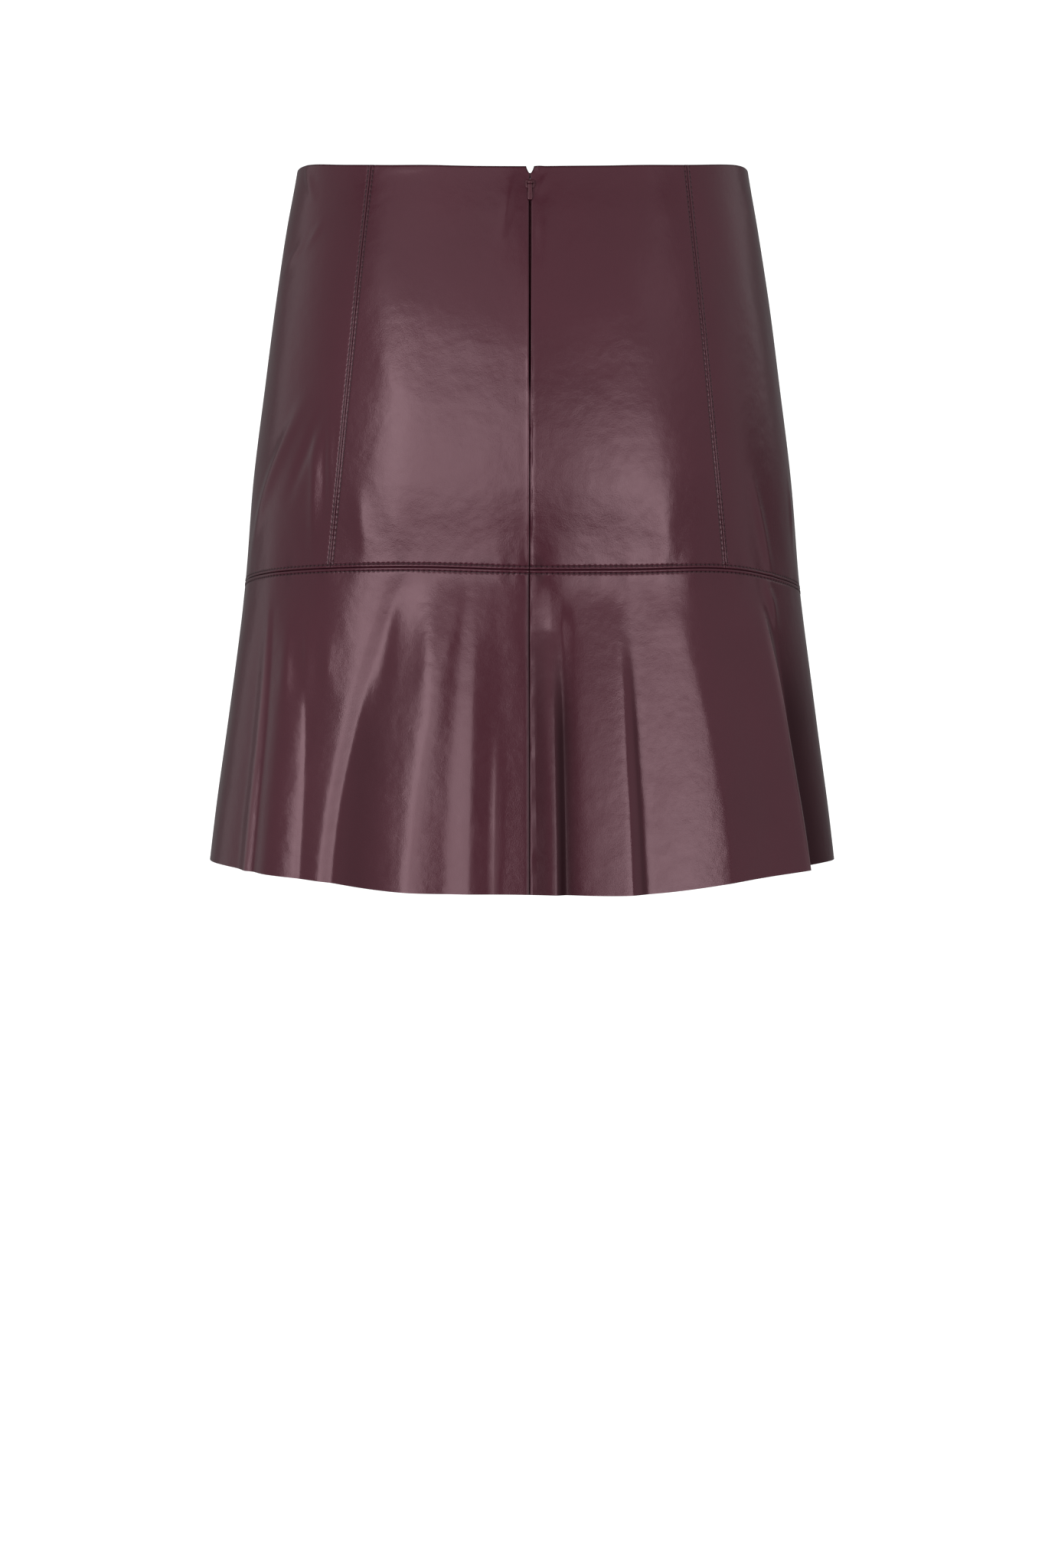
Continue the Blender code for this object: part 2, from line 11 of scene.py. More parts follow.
import bpy
from bpy.props import FloatProperty, FloatVectorProperty, PointerProperty
from bpy.types import Operator, Panel, PropertyGroup
import numpy as np
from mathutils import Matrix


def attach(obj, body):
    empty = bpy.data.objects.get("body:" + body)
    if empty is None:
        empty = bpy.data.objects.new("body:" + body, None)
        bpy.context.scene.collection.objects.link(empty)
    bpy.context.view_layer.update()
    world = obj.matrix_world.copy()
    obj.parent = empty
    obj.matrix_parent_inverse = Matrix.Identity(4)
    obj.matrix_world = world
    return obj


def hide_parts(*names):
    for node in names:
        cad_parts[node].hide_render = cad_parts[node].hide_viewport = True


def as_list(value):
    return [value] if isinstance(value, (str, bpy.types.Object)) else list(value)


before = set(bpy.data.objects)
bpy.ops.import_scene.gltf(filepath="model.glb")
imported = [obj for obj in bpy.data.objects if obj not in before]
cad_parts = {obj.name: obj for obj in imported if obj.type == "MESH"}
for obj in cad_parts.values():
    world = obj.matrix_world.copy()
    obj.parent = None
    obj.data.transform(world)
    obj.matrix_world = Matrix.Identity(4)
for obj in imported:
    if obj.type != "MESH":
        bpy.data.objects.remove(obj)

bl_info = {
    "name": "Leather flounce skirt",
    "version": (1, 0, 0),
    "blender": (4, 5, 0),
    "location": "View3D > Sidebar > Skirt",
    "description": "Builds the skirt's leather, stitching and zip round the loaded frame",
    "category": "Add Mesh",
}

MM = 0.001

# ---------------------------------------------------------------- the cut and worn form
WALL = 1.2                 # leather with its turned and glued edges
CUT_EDGE = 0.9             # leather at the raw-cut hem
CUT_EDGE_RISE = 8.0        # the height over which the wall thins to the raw edge
CORNER_FULLNESS = 0.03     # how far the section is fuller than an ellipse
SEWN_GAP = 0.04            # half the gap left between two sewn pieces

ZIP_END = -153.0           # height where the zip stops and the plain seam begins
ZIP_SLIT = 0.42            # half the slit over the zip
SLIT_CLOSING = 16.0        # the height over which the slit narrows to the seam
SLIT_TOP = -15.5           # height over which the edges meet above the slider
SLIT_TOP_CLOSING = 4.0     # and the height over which the slit narrows to it
MEETING_OVERLAP = 0.3      # how far they press together there
MEETING_RISE = 1.5         # and the height over which they come to it
FLOUNCE_PRESS = 0.06       # how far the flounce's middle seam is pressed together
FLOUNCE_PRESS_TOP = -287.0  # height where that begins
FLOUNCE_PRESS_FADE = 60.0  # and the height over which it grows
NOTCH_HALF_WIDTH = 2.4     # the small V where the zip opens at the waist
NOTCH_DEPTH = 4.4

# The worn form at a number of heights: half the width across the hips, and how far
# the back and the front stand from the middle.
Section = namedtuple("Section", "height half_width back_depth front_depth")
SECTIONS = (
    Section(10.0, 142.0, 95.0, 96.0),
    Section(-6.0, 144.5, 98.5, 97.5),
    Section(-40.0, 150.5, 109.5, 101.0),
    Section(-80.0, 156.3, 121.0, 106.0),
    Section(-140.0, 164.0, 128.2, 111.0),
    Section(-200.0, 171.4, 130.8, 114.0),
    Section(-257.0, 176.3, 128.5, 116.0),
    Section(-300.0, 181.0, 130.5, 120.5),
    Section(-360.0, 188.5, 135.0, 128.5),
    Section(-410.0, 195.3, 139.0, 135.5),
    Section(-460.0, 201.0, 143.0, 141.0),
)

# Heights of the waist edge, the hip seam and the hem round the body.
Edge = namedtuple("Edge", "angle waist hip_seam hem")
EDGES = (
    Edge(-180.0, -6.0, -270.0, -449.0),
    Edge(-120.0, -6.0, -270.0, -445.0),
    Edge(-90.0, -3.6, -267.0, -443.0),
    Edge(-66.0, -2.6, -261.0, -443.5),
    Edge(-45.0, -5.0, -257.0, -447.0),
    Edge(-20.0, -7.0, -255.5, -453.0),
    Edge(0.0, -8.0, -257.0, -453.5),
    Edge(20.0, -7.0, -257.0, -455.0),
    Edge(45.0, -5.0, -257.0, -447.5),
    Edge(66.0, -2.6, -264.5, -443.5),
    Edge(90.0, -3.6, -272.0, -443.0),
    Edge(120.0, -6.0, -271.0, -445.0),
    Edge(180.0, -6.0, -270.0, -449.0),
)

# Seams running down, by their distance from the middle plane at the waist and the hip.
Seam = namedtuple("Seam", "at_waist at_hip")
CENTRE_BACK = Seam(4.7, 4.2)
LEFT_BACK = Seam(-93.5, -119.0)
RIGHT_BACK = Seam(101.8, 125.7)
HIP_HEIGHT = -257.0
SIDE = 90.0

# Fold lines of the flounce, each a ridge or a valley.  A row gives the line's angle at the
# hem and at the hip seam, how far it stands out (+) or sinks in (-) at the hem, the angle
# over which it is rounded, how far it is pushed round over its neighbour at the hem, and
# the share of the drop at which it starts.
FoldLine = namedtuple("FoldLine", "hem hip out rounding over start")
FOLD_LINES = (
    FoldLine(-90.0, -90.0, 0.0, 3.0, 0.0, 0.0),
    FoldLine(-75.0, -77.0, 2.0, 3.0, 0.0, 0.10),
    FoldLine(-60.5, -64.0, 0.0, 1.0, 0.0, 0.12),
    FoldLine(-56.6, -60.4, 3.6, 0.5, 0.0, 0.06),
    FoldLine(-54.8, -58.6, 0.2, 0.5, 0.0, 0.10),
    FoldLine(-50.5, -54.5, 4.0, 1.8, 0.0, 0.06),
    FoldLine(-43.6, -50.0, -0.7, 0.8, 0.2, 0.06),
    FoldLine(-42.4, -49.0, -2.2, 0.8, -0.2, 0.06),
    FoldLine(-37.8, -26.5, -1.5, 0.8, 0.0, 0.0),
    FoldLine(-35.4, -23.6, -4.0, 0.8, 0.0, 0.0),
    FoldLine(-19.5, -11.2, 11.6, 1.2, 0.0, 0.0),
    FoldLine(-12.7, -10.6, 8.5, 1.0, 0.0, 0.0),
    FoldLine(-9.3, -9.3, 10.5, 0.6, 0.0, 0.0),
    FoldLine(-4.5, -4.8, 9.2, 1.5, 0.0, 0.02),
    FoldLine(1.8, 1.5, 9.6, 1.5, 0.0, 0.02),
    FoldLine(5.8, 5.4, 10.4, 0.5, 0.2, 0.18),
    FoldLine(7.6, 7.6, 3.2, 0.4, -0.2, 0.18),
    FoldLine(9.5, 10.0, 4.2, 1.0, 0.0, 0.04),
    FoldLine(12.5, 13.5, 4.6, 1.5, 0.0, 0.04),
    FoldLine(19.2, 18.6, 5.2, 0.6, 0.0, 0.08),
    FoldLine(21.8, 20.9, -0.8, 1.3, 0.0, 0.12),
    FoldLine(38.4, 28.5, 3.6, 0.9, 0.0, 0.02),
    FoldLine(48.0, 41.0, 0.0, 4.0, 0.0, 0.04),
    FoldLine(58.7, 52.5, 7.5, 0.5, 0.5, 0.08),
    FoldLine(62.6, 56.0, -8.0, 0.8, -0.5, 0.08),
    FoldLine(80.0, 79.0, 0.5, 4.0, 0.0, 0.10),
    FoldLine(90.0, 90.0, 0.0, 3.0, 0.0, 0.0),
    FoldLine(104.0, 106.0, -6.0, 3.0, 0.0, 0.08),
    FoldLine(121.0, 119.0, 5.5, 3.5, 0.0, 0.14),
    FoldLine(136.0, 141.0, -7.0, 2.5, 0.0, 0.05),
    FoldLine(154.0, 151.0, 5.0, 4.0, 0.0, 0.20),
    FoldLine(170.0, 168.0, -5.0, 2.5, 0.0, 0.12),
    FoldLine(184.0, 187.0, 6.0, 3.0, 0.0, 0.06),
    FoldLine(202.0, 200.0, -6.5, 2.5, 0.0, 0.15),
    FoldLine(219.0, 223.0, 6.0, 4.0, 0.0, 0.08),
    FoldLine(237.0, 235.0, -5.5, 3.0, 0.0, 0.18),
    FoldLine(254.0, 255.0, 4.5, 4.0, 0.0, 0.10),
)
FOLD_EASE = 0.4            # the smaller, the faster a fold deepens under the hip seam
FOLD_ONSET = 0.04          # the share of the drop over which a fold begins softly


def smooth(rows, key, value, where):
    """Curve through a table's rows: a cubic between neighbours, sloped by the rows
    either side of each."""
    rows = sorted(rows, key=lambda row: getattr(row, key))
    keys = np.array([getattr(row, key) for row in rows])
    values = np.array([getattr(row, value) for row in rows])
    slopes = np.gradient(values, keys)
    where = np.clip(where, keys[0], keys[-1])
    index = np.clip(np.searchsorted(keys, where, side="right") - 1, 0, len(keys) - 2)
    span = keys[index + 1] - keys[index]
    u = (where - keys[index]) / span
    return (values[index] * (2 * u**3 - 3 * u**2 + 1)
            + values[index + 1] * (3 * u**2 - 2 * u**3)
            + slopes[index] * span * (u**3 - 2 * u**2 + u)
            + slopes[index + 1] * span * (u**3 - u**2))


def turned(angle):
    """The same angle within -180 to 180 degrees."""
    return (np.asarray(angle, dtype=float) + 180.0) % 360.0 - 180.0


def eased(share):
    """0 below 0, 1 above 1, and a smooth S between."""
    share = np.clip(share, 0.0, 1.0)
    return share * share * (3.0 - 2.0 * share)


def bell(distance, half_width):
    """1 at no distance, falling off both ways as a Gaussian."""
    return np.exp(-((distance / half_width) ** 2))


def edge_height(edge, angle):
    """The height of the waist edge, the hip seam or the hem at an angle."""
    return smooth(EDGES, "angle", edge, turned(angle))


def drop_share(angle, height):
    """How far down the flounce a point is: 0 at the hip seam, 1 at the hem."""
    top = edge_height("hip_seam", angle)
    return np.clip((top - height) / (top - edge_height("hem", angle)), 0.0, 1.1)


def line_angle(line, down):
    """A fold line leaves the hip seam aslant and hangs straighter towards the hem."""
    leaning = np.where(down < 1.0, 1.0 - (1.0 - down) ** 2, 1.0)
    return line.hip + (line.hem - line.hip) * leaning


def growth(share):
    """A fold's share of its full depth: nothing above its start, 1 at the hem."""
    share = np.clip(share, 0.0, 1.1)
    soft = np.hypot(share, FOLD_ONSET) - FOLD_ONSET
    return soft * (1.0 + FOLD_EASE) / (soft + FOLD_EASE)


def corner(aside, rounding):
    """The distance from a fold line, rounded at the line itself."""
    return np.sqrt(turned(aside) ** 2 + rounding**2)


def fold_shape(angle, height):
    """How far the folds move a point out, and how far round in degrees: a straight
    course from each fold line to the next, with hyperbola-rounded corners."""
    out = np.zeros(np.broadcast(angle, height).shape)
    over = np.zeros(out.shape)
    down = drop_share(angle, height)
    if not np.any(down > 0.0):
        return out, over
    places = [line_angle(line, down) for line in FOLD_LINES]
    for number, line in enumerate(FOLD_LINES):
        before = number - 1
        after = (number + 1) % len(FOLD_LINES)
        gap_before = turned(places[number] - places[before])
        gap_after = turned(places[after] - places[number])
        hat = (corner(angle - places[before], FOLD_LINES[before].rounding) / gap_before
               - corner(angle - places[number], line.rounding)
               * (1.0 / gap_before + 1.0 / gap_after)
               + corner(angle - places[after], FOLD_LINES[after].rounding) / gap_after) / 2.0
        near = np.abs(turned(angle - places[number])) < 80.0
        grown = growth((down - line.start) / (1.0 - line.start))
        out = out + line.out * grown * hat * near
        over = over + line.over * grown * hat * near
    return out, over


def plain_point(angle, height):
    """The form without folds: an ellipse a little full at its corners, with separate
    depths for the back and the front."""
    turn = np.radians(angle)
    half_width = smooth(SECTIONS, "height", "half_width", height)
    back = smooth(SECTIONS, "height", "back_depth", height)
    front = smooth(SECTIONS, "height", "front_depth", height)
    fullness = 1.0 + CORNER_FULLNESS * np.sin(2.0 * turn) ** 2
    depth = np.where(np.cos(turn) > 0.0, back, front)
    x = half_width * np.sin(turn) * fullness
    y = -depth * np.cos(turn) * fullness
    return np.stack(np.broadcast_arrays(x, y, height), axis=-1)


def length_of(vectors):
    """Each vector's length, kept as a last axis of one."""
    return np.linalg.norm(vectors, axis=-1, keepdims=True)


def sideways(angle, height):
    """Unit vector pointing level and out of the plain form."""
    step = 0.05
    along = plain_point(angle + step, height) - plain_point(angle - step, height)
    out = np.stack([along[..., 1], -along[..., 0], np.zeros(along.shape[:-1])], axis=-1)
    return out / length_of(out)


def folded_point(angle, height):
    """The plain form moved level and outwards, and round, by the folds."""
    out, over = fold_shape(angle, height)
    return plain_point(angle + over, height) + sideways(angle + over, height) * out[..., None]


def face_normal(angle, height):
    """The folded form's unit normal, from its slopes along the angle and the height."""
    turn, rise = 0.2, 0.5
    around = folded_point(angle + turn, height) - folded_point(angle - turn, height)
    up = folded_point(angle, height + rise) - folded_point(angle, height - rise)
    normal = np.cross(around, up)
    return normal / length_of(normal)


def width_of_degree(angle, height):
    """Millimetres of leather round the plain form for one degree."""
    half = 0.5
    return length_of(plain_point(angle + half, height) - plain_point(angle - half, height))[..., 0]


def angle_at(distance, height):
    """The angle on the back where the plain form is this far from the middle plane.  The
    form's fullness depends on the angle, so it is come to in a few rounds."""
    half_width = smooth(SECTIONS, "height", "half_width", height)
    share = distance / half_width
    turn = np.arcsin(share)
    for _ in range(6):
        turn = np.arcsin(share / (1.0 + CORNER_FULLNESS * np.sin(2.0 * turn) ** 2))
    return np.degrees(turn)


def seam_angle(seam, height):
    """The angle of a seam that runs from the waist to the hip and straight on down."""
    share = np.clip(height / HIP_HEIGHT, 0.0, 1.0)
    return angle_at(seam.at_waist + (seam.at_hip - seam.at_waist) * share, height)


def past_seam(seam, angle, height):
    """Distance round the body from a seam that runs down the back, less than 0 on its
    left."""
    return turned(angle - seam_angle(seam, height)) * width_of_degree(angle, height)


def slit_half_width(height):
    """Half the space between the two back pieces: a V at the waist, the edges meeting
    above the slider, the slit over the zip closing softly at its foot, and below it
    only the seam's own gap."""
    below_waist = edge_height("waist", 0.0) - height
    open_share = eased((height - ZIP_END) / SLIT_CLOSING)
    open_share = open_share * eased((SLIT_TOP - height) / SLIT_TOP_CLOSING)
    slit = SEWN_GAP + (ZIP_SLIT - SEWN_GAP) * open_share
    notch = NOTCH_HALF_WIDTH * (1.0 - np.clip(below_waist / NOTCH_DEPTH, 0.0, 1.0)) ** 0.5
    meeting = (MEETING_OVERLAP * eased((height - SLIT_TOP) / MEETING_RISE)
               + FLOUNCE_PRESS * eased((FLOUNCE_PRESS_TOP - height) / FLOUNCE_PRESS_FADE))
    return np.where(notch > slit, notch, slit - meeting)


# ---------------------------------------------------------------- creases
# Lengths round the hips at every half degree, so that creases can be laid in millimetres.
RULER_HEIGHT = -200.0
RULER_ANGLES = np.linspace(-180.0, 180.0, 721)
RULER_STEPS = length_of(np.diff(plain_point(RULER_ANGLES, RULER_HEIGHT), axis=0))[:, 0]
RULER = np.concatenate([[0.0], np.cumsum(RULER_STEPS)])


def round_body(angle):
    """Millimetres round the hips from the middle of the front to an angle."""
    return np.interp(turned(angle), RULER_ANGLES, RULER)


def nearer_way(distance):
    """A length round the body, taken the shorter way."""
    return (distance + RULER[-1] / 2.0) % RULER[-1] - RULER[-1] / 2.0


# Soft ridges (+) and troughs (-) pressed into the leather, each from one point to another,
# bowed aside in its middle.  Rise and half width are those of its middle, and it fades
# towards both ends.
Crease = namedtuple("Crease", "angle height to_angle to_height rise half_width bow")
CREASES = (
    # slanting drags on the left side panel
    Crease(-49.6, -139.0, -79.3, -256.0, 2.0, 6.0, 0.0),
    Crease(-44.9, -150.0, -57.0, -222.0, -1.3, 4.5, 0.0),
    Crease(-48.0, -160.0, -46.0, -256.0, 1.0, 3.4, 0.0),
    Crease(-45.1, -160.0, -43.0, -238.0, -0.7, 2.4, 0.0),
    Crease(-43.8, -160.0, -42.3, -214.0, 0.5, 2.0, 0.0),
    # slight fullness in the left back panel
    Crease(-35.0, -100.0, -22.5, -165.0, 0.5, 13.0, 3.0),
    Crease(-35.5, -200.0, -31.4, -262.0, 0.8, 6.0, 0.0),
    Crease(-26.5, -205.0, -23.5, -275.0, 0.7, 7.0, 0.0),
    # below the waist edge
    Crease(-37.5, -8.0, -17.5, -7.0, 0.6, 3.5, 1.0),
    Crease(-71.2, -1.0, -58.0, -28.0, 0.9, 4.0, 0.0),
    Crease(-75.4, -70.0, -60.0, -50.0, 0.7, 3.5, 0.0),
    Crease(-61.5, -60.0, -52.5, -37.0, 0.5, 3.2, 0.0),
    Crease(87.0, -14.0, 62.0, -44.0, 0.3, 4.5, 0.0),
    # beside the zip
    Crease(-2.4, -11.0, -5.4, -58.0, 0.8, 3.4, 0.0),
    Crease(3.2, -1.0, 4.8, -13.5, 0.7, 2.6, 0.0),
    Crease(6.6, -11.0, 2.8, -27.0, 0.6, 2.4, 0.0),
    Crease(5.4, -22.0, 5.8, -80.0, 0.9, 7.0, 0.0),
    # the right side panel, and on under the hip seam
    Crease(53.5, -190.0, 60.5, -275.0, 1.6, 4.0, 0.0),
    Crease(56.0, -258.0, 60.5, -300.0, 1.6, 4.0, 0.0),
    Crease(76.4, -195.0, 75.6, -250.0, 0.9, 3.5, 0.0),
    Crease(31.0, -195.0, 28.0, -275.0, 0.8, 8.0, 0.0),
    # the flounce's left back, under the hip seam
    Crease(-41.0, -285.0, -39.0, -340.0, 0.8, 4.5, 0.0),
    Crease(-26.0, -260.0, -28.5, -352.0, -0.8, 6.0, 0.0),
    Crease(-17.5, -260.0, -18.5, -352.0, 0.8, 7.0, 0.0),
    Crease(-46.5, -280.0, -44.0, -345.0, 0.9, 4.0, 0.0),
    Crease(-52.0, -285.0, -50.0, -350.0, 0.9, 4.5, 0.0),
    # the front, which hangs in the same way
    Crease(117.0, -150.0, 102.0, -256.0, 1.6, 6.5, 0.0),
    Crease(124.0, -165.0, 114.0, -245.0, -1.1, 5.0, 0.0),
    Crease(236.0, -140.0, 254.0, -256.0, 1.7, 6.5, 0.0),
    Crease(229.0, -170.0, 240.0, -250.0, -1.2, 5.0, 0.0),
    Crease(150.0, -8.0, 172.0, -9.0, 0.6, 3.5, 1.0),
    Crease(205.0, -60.0, 214.0, -120.0, 0.8, 9.0, 2.0),
    Crease(163.0, -200.0, 160.0, -285.0, 0.8, 7.0, 0.0),
    Crease(196.0, -205.0, 199.0, -290.0, 0.8, 6.0, 0.0),
    Crease(178.0, -330.0, 177.0, -440.0, 0.9, 3.0, 0.0),
    # a small streak left of the middle back of the flounce
    Crease(-4.3, -340.0, -5.0, -490.0, 0.4, 1.8, 0.0),
    # the groove beside the last fold on the right
    Crease(56.5, -275.0, 60.8, -510.0, -2.5, 2.8, 0.0),
)


# How the leather stands up either side of the middle back: its rise, how far it reaches
# round the body, and the height where it ends.
Lap = namedtuple("Lap", "rise reach foot")
LAP_LEFT = Lap(3.2, 48.0, -312.0)
LAP_RIGHT = Lap(2.5, 50.0, -305.0)
LAP_TOP = -40.0            # height where it begins
LAP_FADE = 90.0            # the height over which it grows, and fades at its foot
LAP_CHANGE = 30.0          # the height over the hip seam in which its section changes

# Waves that cross the body at a slant: the millimetres round and down for a turn of one
# radian, and where the wave starts.
Slant = namedtuple("Slant", "around down start")
DENTS = (Slant(23.0, 48.0, 0.4), Slant(-15.0, 42.0, 1.7), Slant(11.5, -66.0, 3.1),
         Slant(-8.6, -40.0, 5.0))
DENT_RISE = 0.13
DENT_SWAY = 0.8            # how far, in radians, the waves swing to and fro
DENT_SWAY_LENGTH = 37.0    # and the height for one radian of that

# Waves along a seam: the length of one radian, where the wave starts, and its share.
Wave = namedtuple("Wave", "length start share")
GATHERS = (Wave(3.4, 0.6, 0.35), Wave(6.1, 1.9, 1.0), Wave(9.7, 0.4, 1.0))
GATHER_RISE = 0.16         # the ripples beside the hip seam
GATHER_REACH = 26.0        # how far from it they fade


def lap(angle, height):
    """The leather stands up along the middle back below the zip, the left side more: on
    the body a parabola that is highest at the seam, under the hip seam a rounded bell
    that soon fades."""
    past_middle = past_seam(CENTRE_BACK, angle, height)
    rise, reach, foot = [np.where(past_middle < 0.0, left, right)
                         for left, right in zip(LAP_LEFT, LAP_RIGHT)]
    away = np.abs(past_middle) / reach
    peaked = np.clip(1.0 - away, 0.0, 1.0) ** 2
    rounded = bell(away, 0.5)
    share = eased((height - edge_height("hip_seam", angle)) / LAP_CHANGE)
    down_back = eased((LAP_TOP - height) / LAP_FADE) * eased((height - foot) / LAP_FADE)
    return rise * down_back * (rounded + (peaked - rounded) * share)


def unevenness(angle, height):
    """The broad shallow dents of worn leather: slow waves that cross one another at
    slants, none of them level or upright."""
    place = round_body(angle)
    dents = np.zeros(np.broadcast(angle, height).shape)
    for slant in DENTS:
        phase = place / slant.around + height / slant.down + slant.start
        sway = DENT_SWAY * np.sin(height / DENT_SWAY_LENGTH + slant.start)
        dents = dents + np.sin(phase + sway)
    return DENT_RISE * dents


def ripples(place, waves):
    """The sum of a table's sines at places along a line."""
    return sum(wave.share * np.sin(place / wave.length + wave.start) for wave in waves)


def gathers(angle, height):
    """Soft upright ripples that the hip seam draws into both pieces: three waves of
    different length round the body, fading away from the seam."""
    from_hip = height - edge_height("hip_seam", angle)
    waves = ripples(round_body(angle), GATHERS)
    return GATHER_RISE * waves * bell(from_hip, GATHER_REACH)


def creases(angle, height):
    """How far the creases lift the leather: each one's rise times a bell across it and
    a fade along it."""
    place = round_body(angle)
    lift = lap(angle, height) + gathers(angle, height) + unevenness(angle, height)
    for crease in CREASES:
        along = nearer_way(round_body(crease.to_angle) - round_body(crease.angle))
        fall = crease.to_height - crease.height
        length = math.hypot(along, fall)
        beside = nearer_way(place - round_body(crease.angle))
        below = height - crease.height
        share = (beside * along + below * fall) / length**2
        aside = (beside * fall - below * along) / length
        aside = aside - crease.bow * 4.0 * share * (1.0 - share)
        fade = np.sin(math.pi * np.clip(share, 0.0, 1.0)) ** 1.5
        lift = lift + crease.rise * fade * bell(aside, crease.half_width)
    return lift


# Streaks that run down the flounce: the angle at the hem and at the hip seam, the reach
# either side in degrees, the strength, and the share of the drop at which they begin.
Streak = namedtuple("Streak", "hem hip before after strength start")
STREAK_ONSET = 0.4         # the share of the drop over which a streak gains its strength

# Painted shade: where the leather faces itself in the depth of a fold, a darker matt shader is
# mixed in for the shade that falls there.
PAINTED_FOLD_SHADES = (
    Streak(-30.0, -23.0, 4.5, 5.0, 0.26, 0.25),
    Streak(3.0, 2.7, 1.6, 1.8, 0.42, 0.05),
    Streak(6.9, 7.6, 1.6, 2.4, 0.85, 0.15),
    Streak(21.3, 20.6, 0.5, 0.7, 0.45, 0.15),
    Streak(65.0, 58.6, 0.6, 13.0, 0.75, 0.12),
    Streak(104.0, 106.0, 3.0, 3.0, 0.45, 0.15),
    Streak(136.0, 141.0, 3.5, 3.5, 0.50, 0.12),
    Streak(170.0, 168.0, 3.0, 3.0, 0.40, 0.20),
    Streak(202.0, 200.0, 3.5, 3.5, 0.50, 0.20),
    Streak(237.0, 235.0, 3.0, 3.0, 0.40, 0.20),
)

# Painted glint: a paler colour along each sharp ridge, standing in for the light it catches.
PAINTED_GLINTS = (
    Streak(58.9, 52.8, 1.2, 0.6, 0.9, 0.05),
    Streak(-56.6, -60.4, 0.7, 0.7, 0.4, 0.10),
    Streak(-5.0, -5.0, 0.5, 0.5, 0.5, 0.45),
    Streak(184.0, 187.0, 0.8, 0.8, 0.3, 0.2),
)


def streaked(streaks, angle, height):
    """How near a point is to any of the streaks, 0 to 1: a bell across each, times its
    own strength."""
    down = drop_share(angle, height)
    nearest = np.zeros(np.broadcast(angle, height).shape)
    for streak in streaks:
        aside = turned(angle - line_angle(streak, down))
        reach = np.where(aside < 0.0, streak.before, streak.after)
        grown = streak.strength * eased((down - streak.start) / STREAK_ONSET)
        nearest = np.maximum(nearest, grown * bell(aside, reach))
    return nearest


# ---------------------------------------------------------------- sewn edges
STITCH_ABOVE = 2.0         # topstitching above the hip seam
STITCH_BELOW = 2.3         # topstitching below it
STITCH_BESIDE = 1.7        # topstitching each side of the princess seams
SEAM_ROLL = 0.85           # how wide a sewn edge turns in
SEAM_DEPTH = 0.65          # and how deep
SLIT_ROLL = 1.5            # the softer folded edges over the zip
SLIT_DEPTH = 0.9
WAIST_ROLL = 1.6           # the folded waist edge
WAIST_DEPTH = 0.85
RIB_RISE = 0.24            # the leather stands up between a seam and its topstitching
STITCH_SINK = 0.13         # the thread pulls the leather in
STITCH_TRENCH = 0.45       # half width of that trench
DARK_DEPTH = 0.45          # how deep an edge turns in where its painted shade is darkest
FAR_FROM_STITCHES = 20.0
PRINCESS_PULL = 0.8        # the princess seams' stitches pull less than the hip seam's
PUCKERS = (Wave(1.55, 0.8, 0.5), Wave(2.6, 2.1, 1.0), Wave(4.3, 0.0, 0.7))
PUCKER_RISE = 0.03         # the hip seam's puckers all round
MIDDLE_PUCKER_RISE = 0.07  # and what is added by the middle of the back
MIDDLE_PUCKER_REACH = 9.0  # within so many degrees of it
PUCKER_REACH = 7.0         # how far from the hip seam they fade out

# Narrow ridges along the middle back: the rise, the distance past the seam and the half
# width.  The right edge stands up, and the left one has a lip on the body and goes under
# the right one in the flounce.
Ridge = namedtuple("Ridge", "rise past half_width")
RIGHT_RIDGE = Ridge(0.5, 1.0, 0.7)
LEFT_LIP = Ridge(0.26, -1.1, 0.7)
LEFT_UNDER = Ridge(-0.30, -0.5, 1.0)
RIDGE_TOP = -60.0          # height under which they grow, over as much again
RIDGE_ABOVE = 0.2          # their share of the rise over that
RIDGE_CHANGE = -262.0      # height where the left edge begins to come up out of the lap
RIDGE_CHANGING = 14.0      # and the height over which it does
RIDGE_WAVES = (Wave(3.1, 0.0, 0.3), Wave(7.3, 1.0, 0.3))


def rolled(distance, width, depth):
    """How deep an edge has turned in: a quarter ellipse, depth at the edge, 0 at width."""
    share = np.clip(distance / width, 0.0, 1.0)
    return -depth * (1.0 - np.sqrt(1.0 - (1.0 - share) ** 2))


def topstitched(distance, row):
    """A rib from the seam to its row of stitches, and the trench at the row."""
    rib = RIB_RISE * np.sin(math.pi * np.clip(distance / row, 0.0, 1.0))
    trench = STITCH_SINK * bell(distance - row, STITCH_TRENCH)
    return rib - trench


def stitch_places(angle, height):
    """The distance from the nearest row of stitches, the place along that row, and how
    hard its stitches pull."""
    above_hip = height - edge_height("hip_seam", angle)
    from_row = np.where(above_hip > 0.0, above_hip - STITCH_ABOVE, -above_hip - STITCH_BELOW)
    from_row = np.abs(from_row)
    along_row = np.broadcast_to(round_body(angle), from_row.shape)
    pull = np.ones(from_row.shape)
    for seam in (LEFT_BACK, RIGHT_BACK):
        from_seam = np.abs(np.abs(past_seam(seam, angle, height)) - STITCH_BESIDE)
        from_seam = np.where(above_hip > STITCH_ABOVE + 0.3, from_seam, FAR_FROM_STITCHES)
        along_row = np.where(from_seam < from_row, -height, along_row)
        pull = np.where(from_seam < from_row, PRINCESS_PULL, pull)
        from_row = np.minimum(from_row, from_seam)
    return from_row, along_row, pull


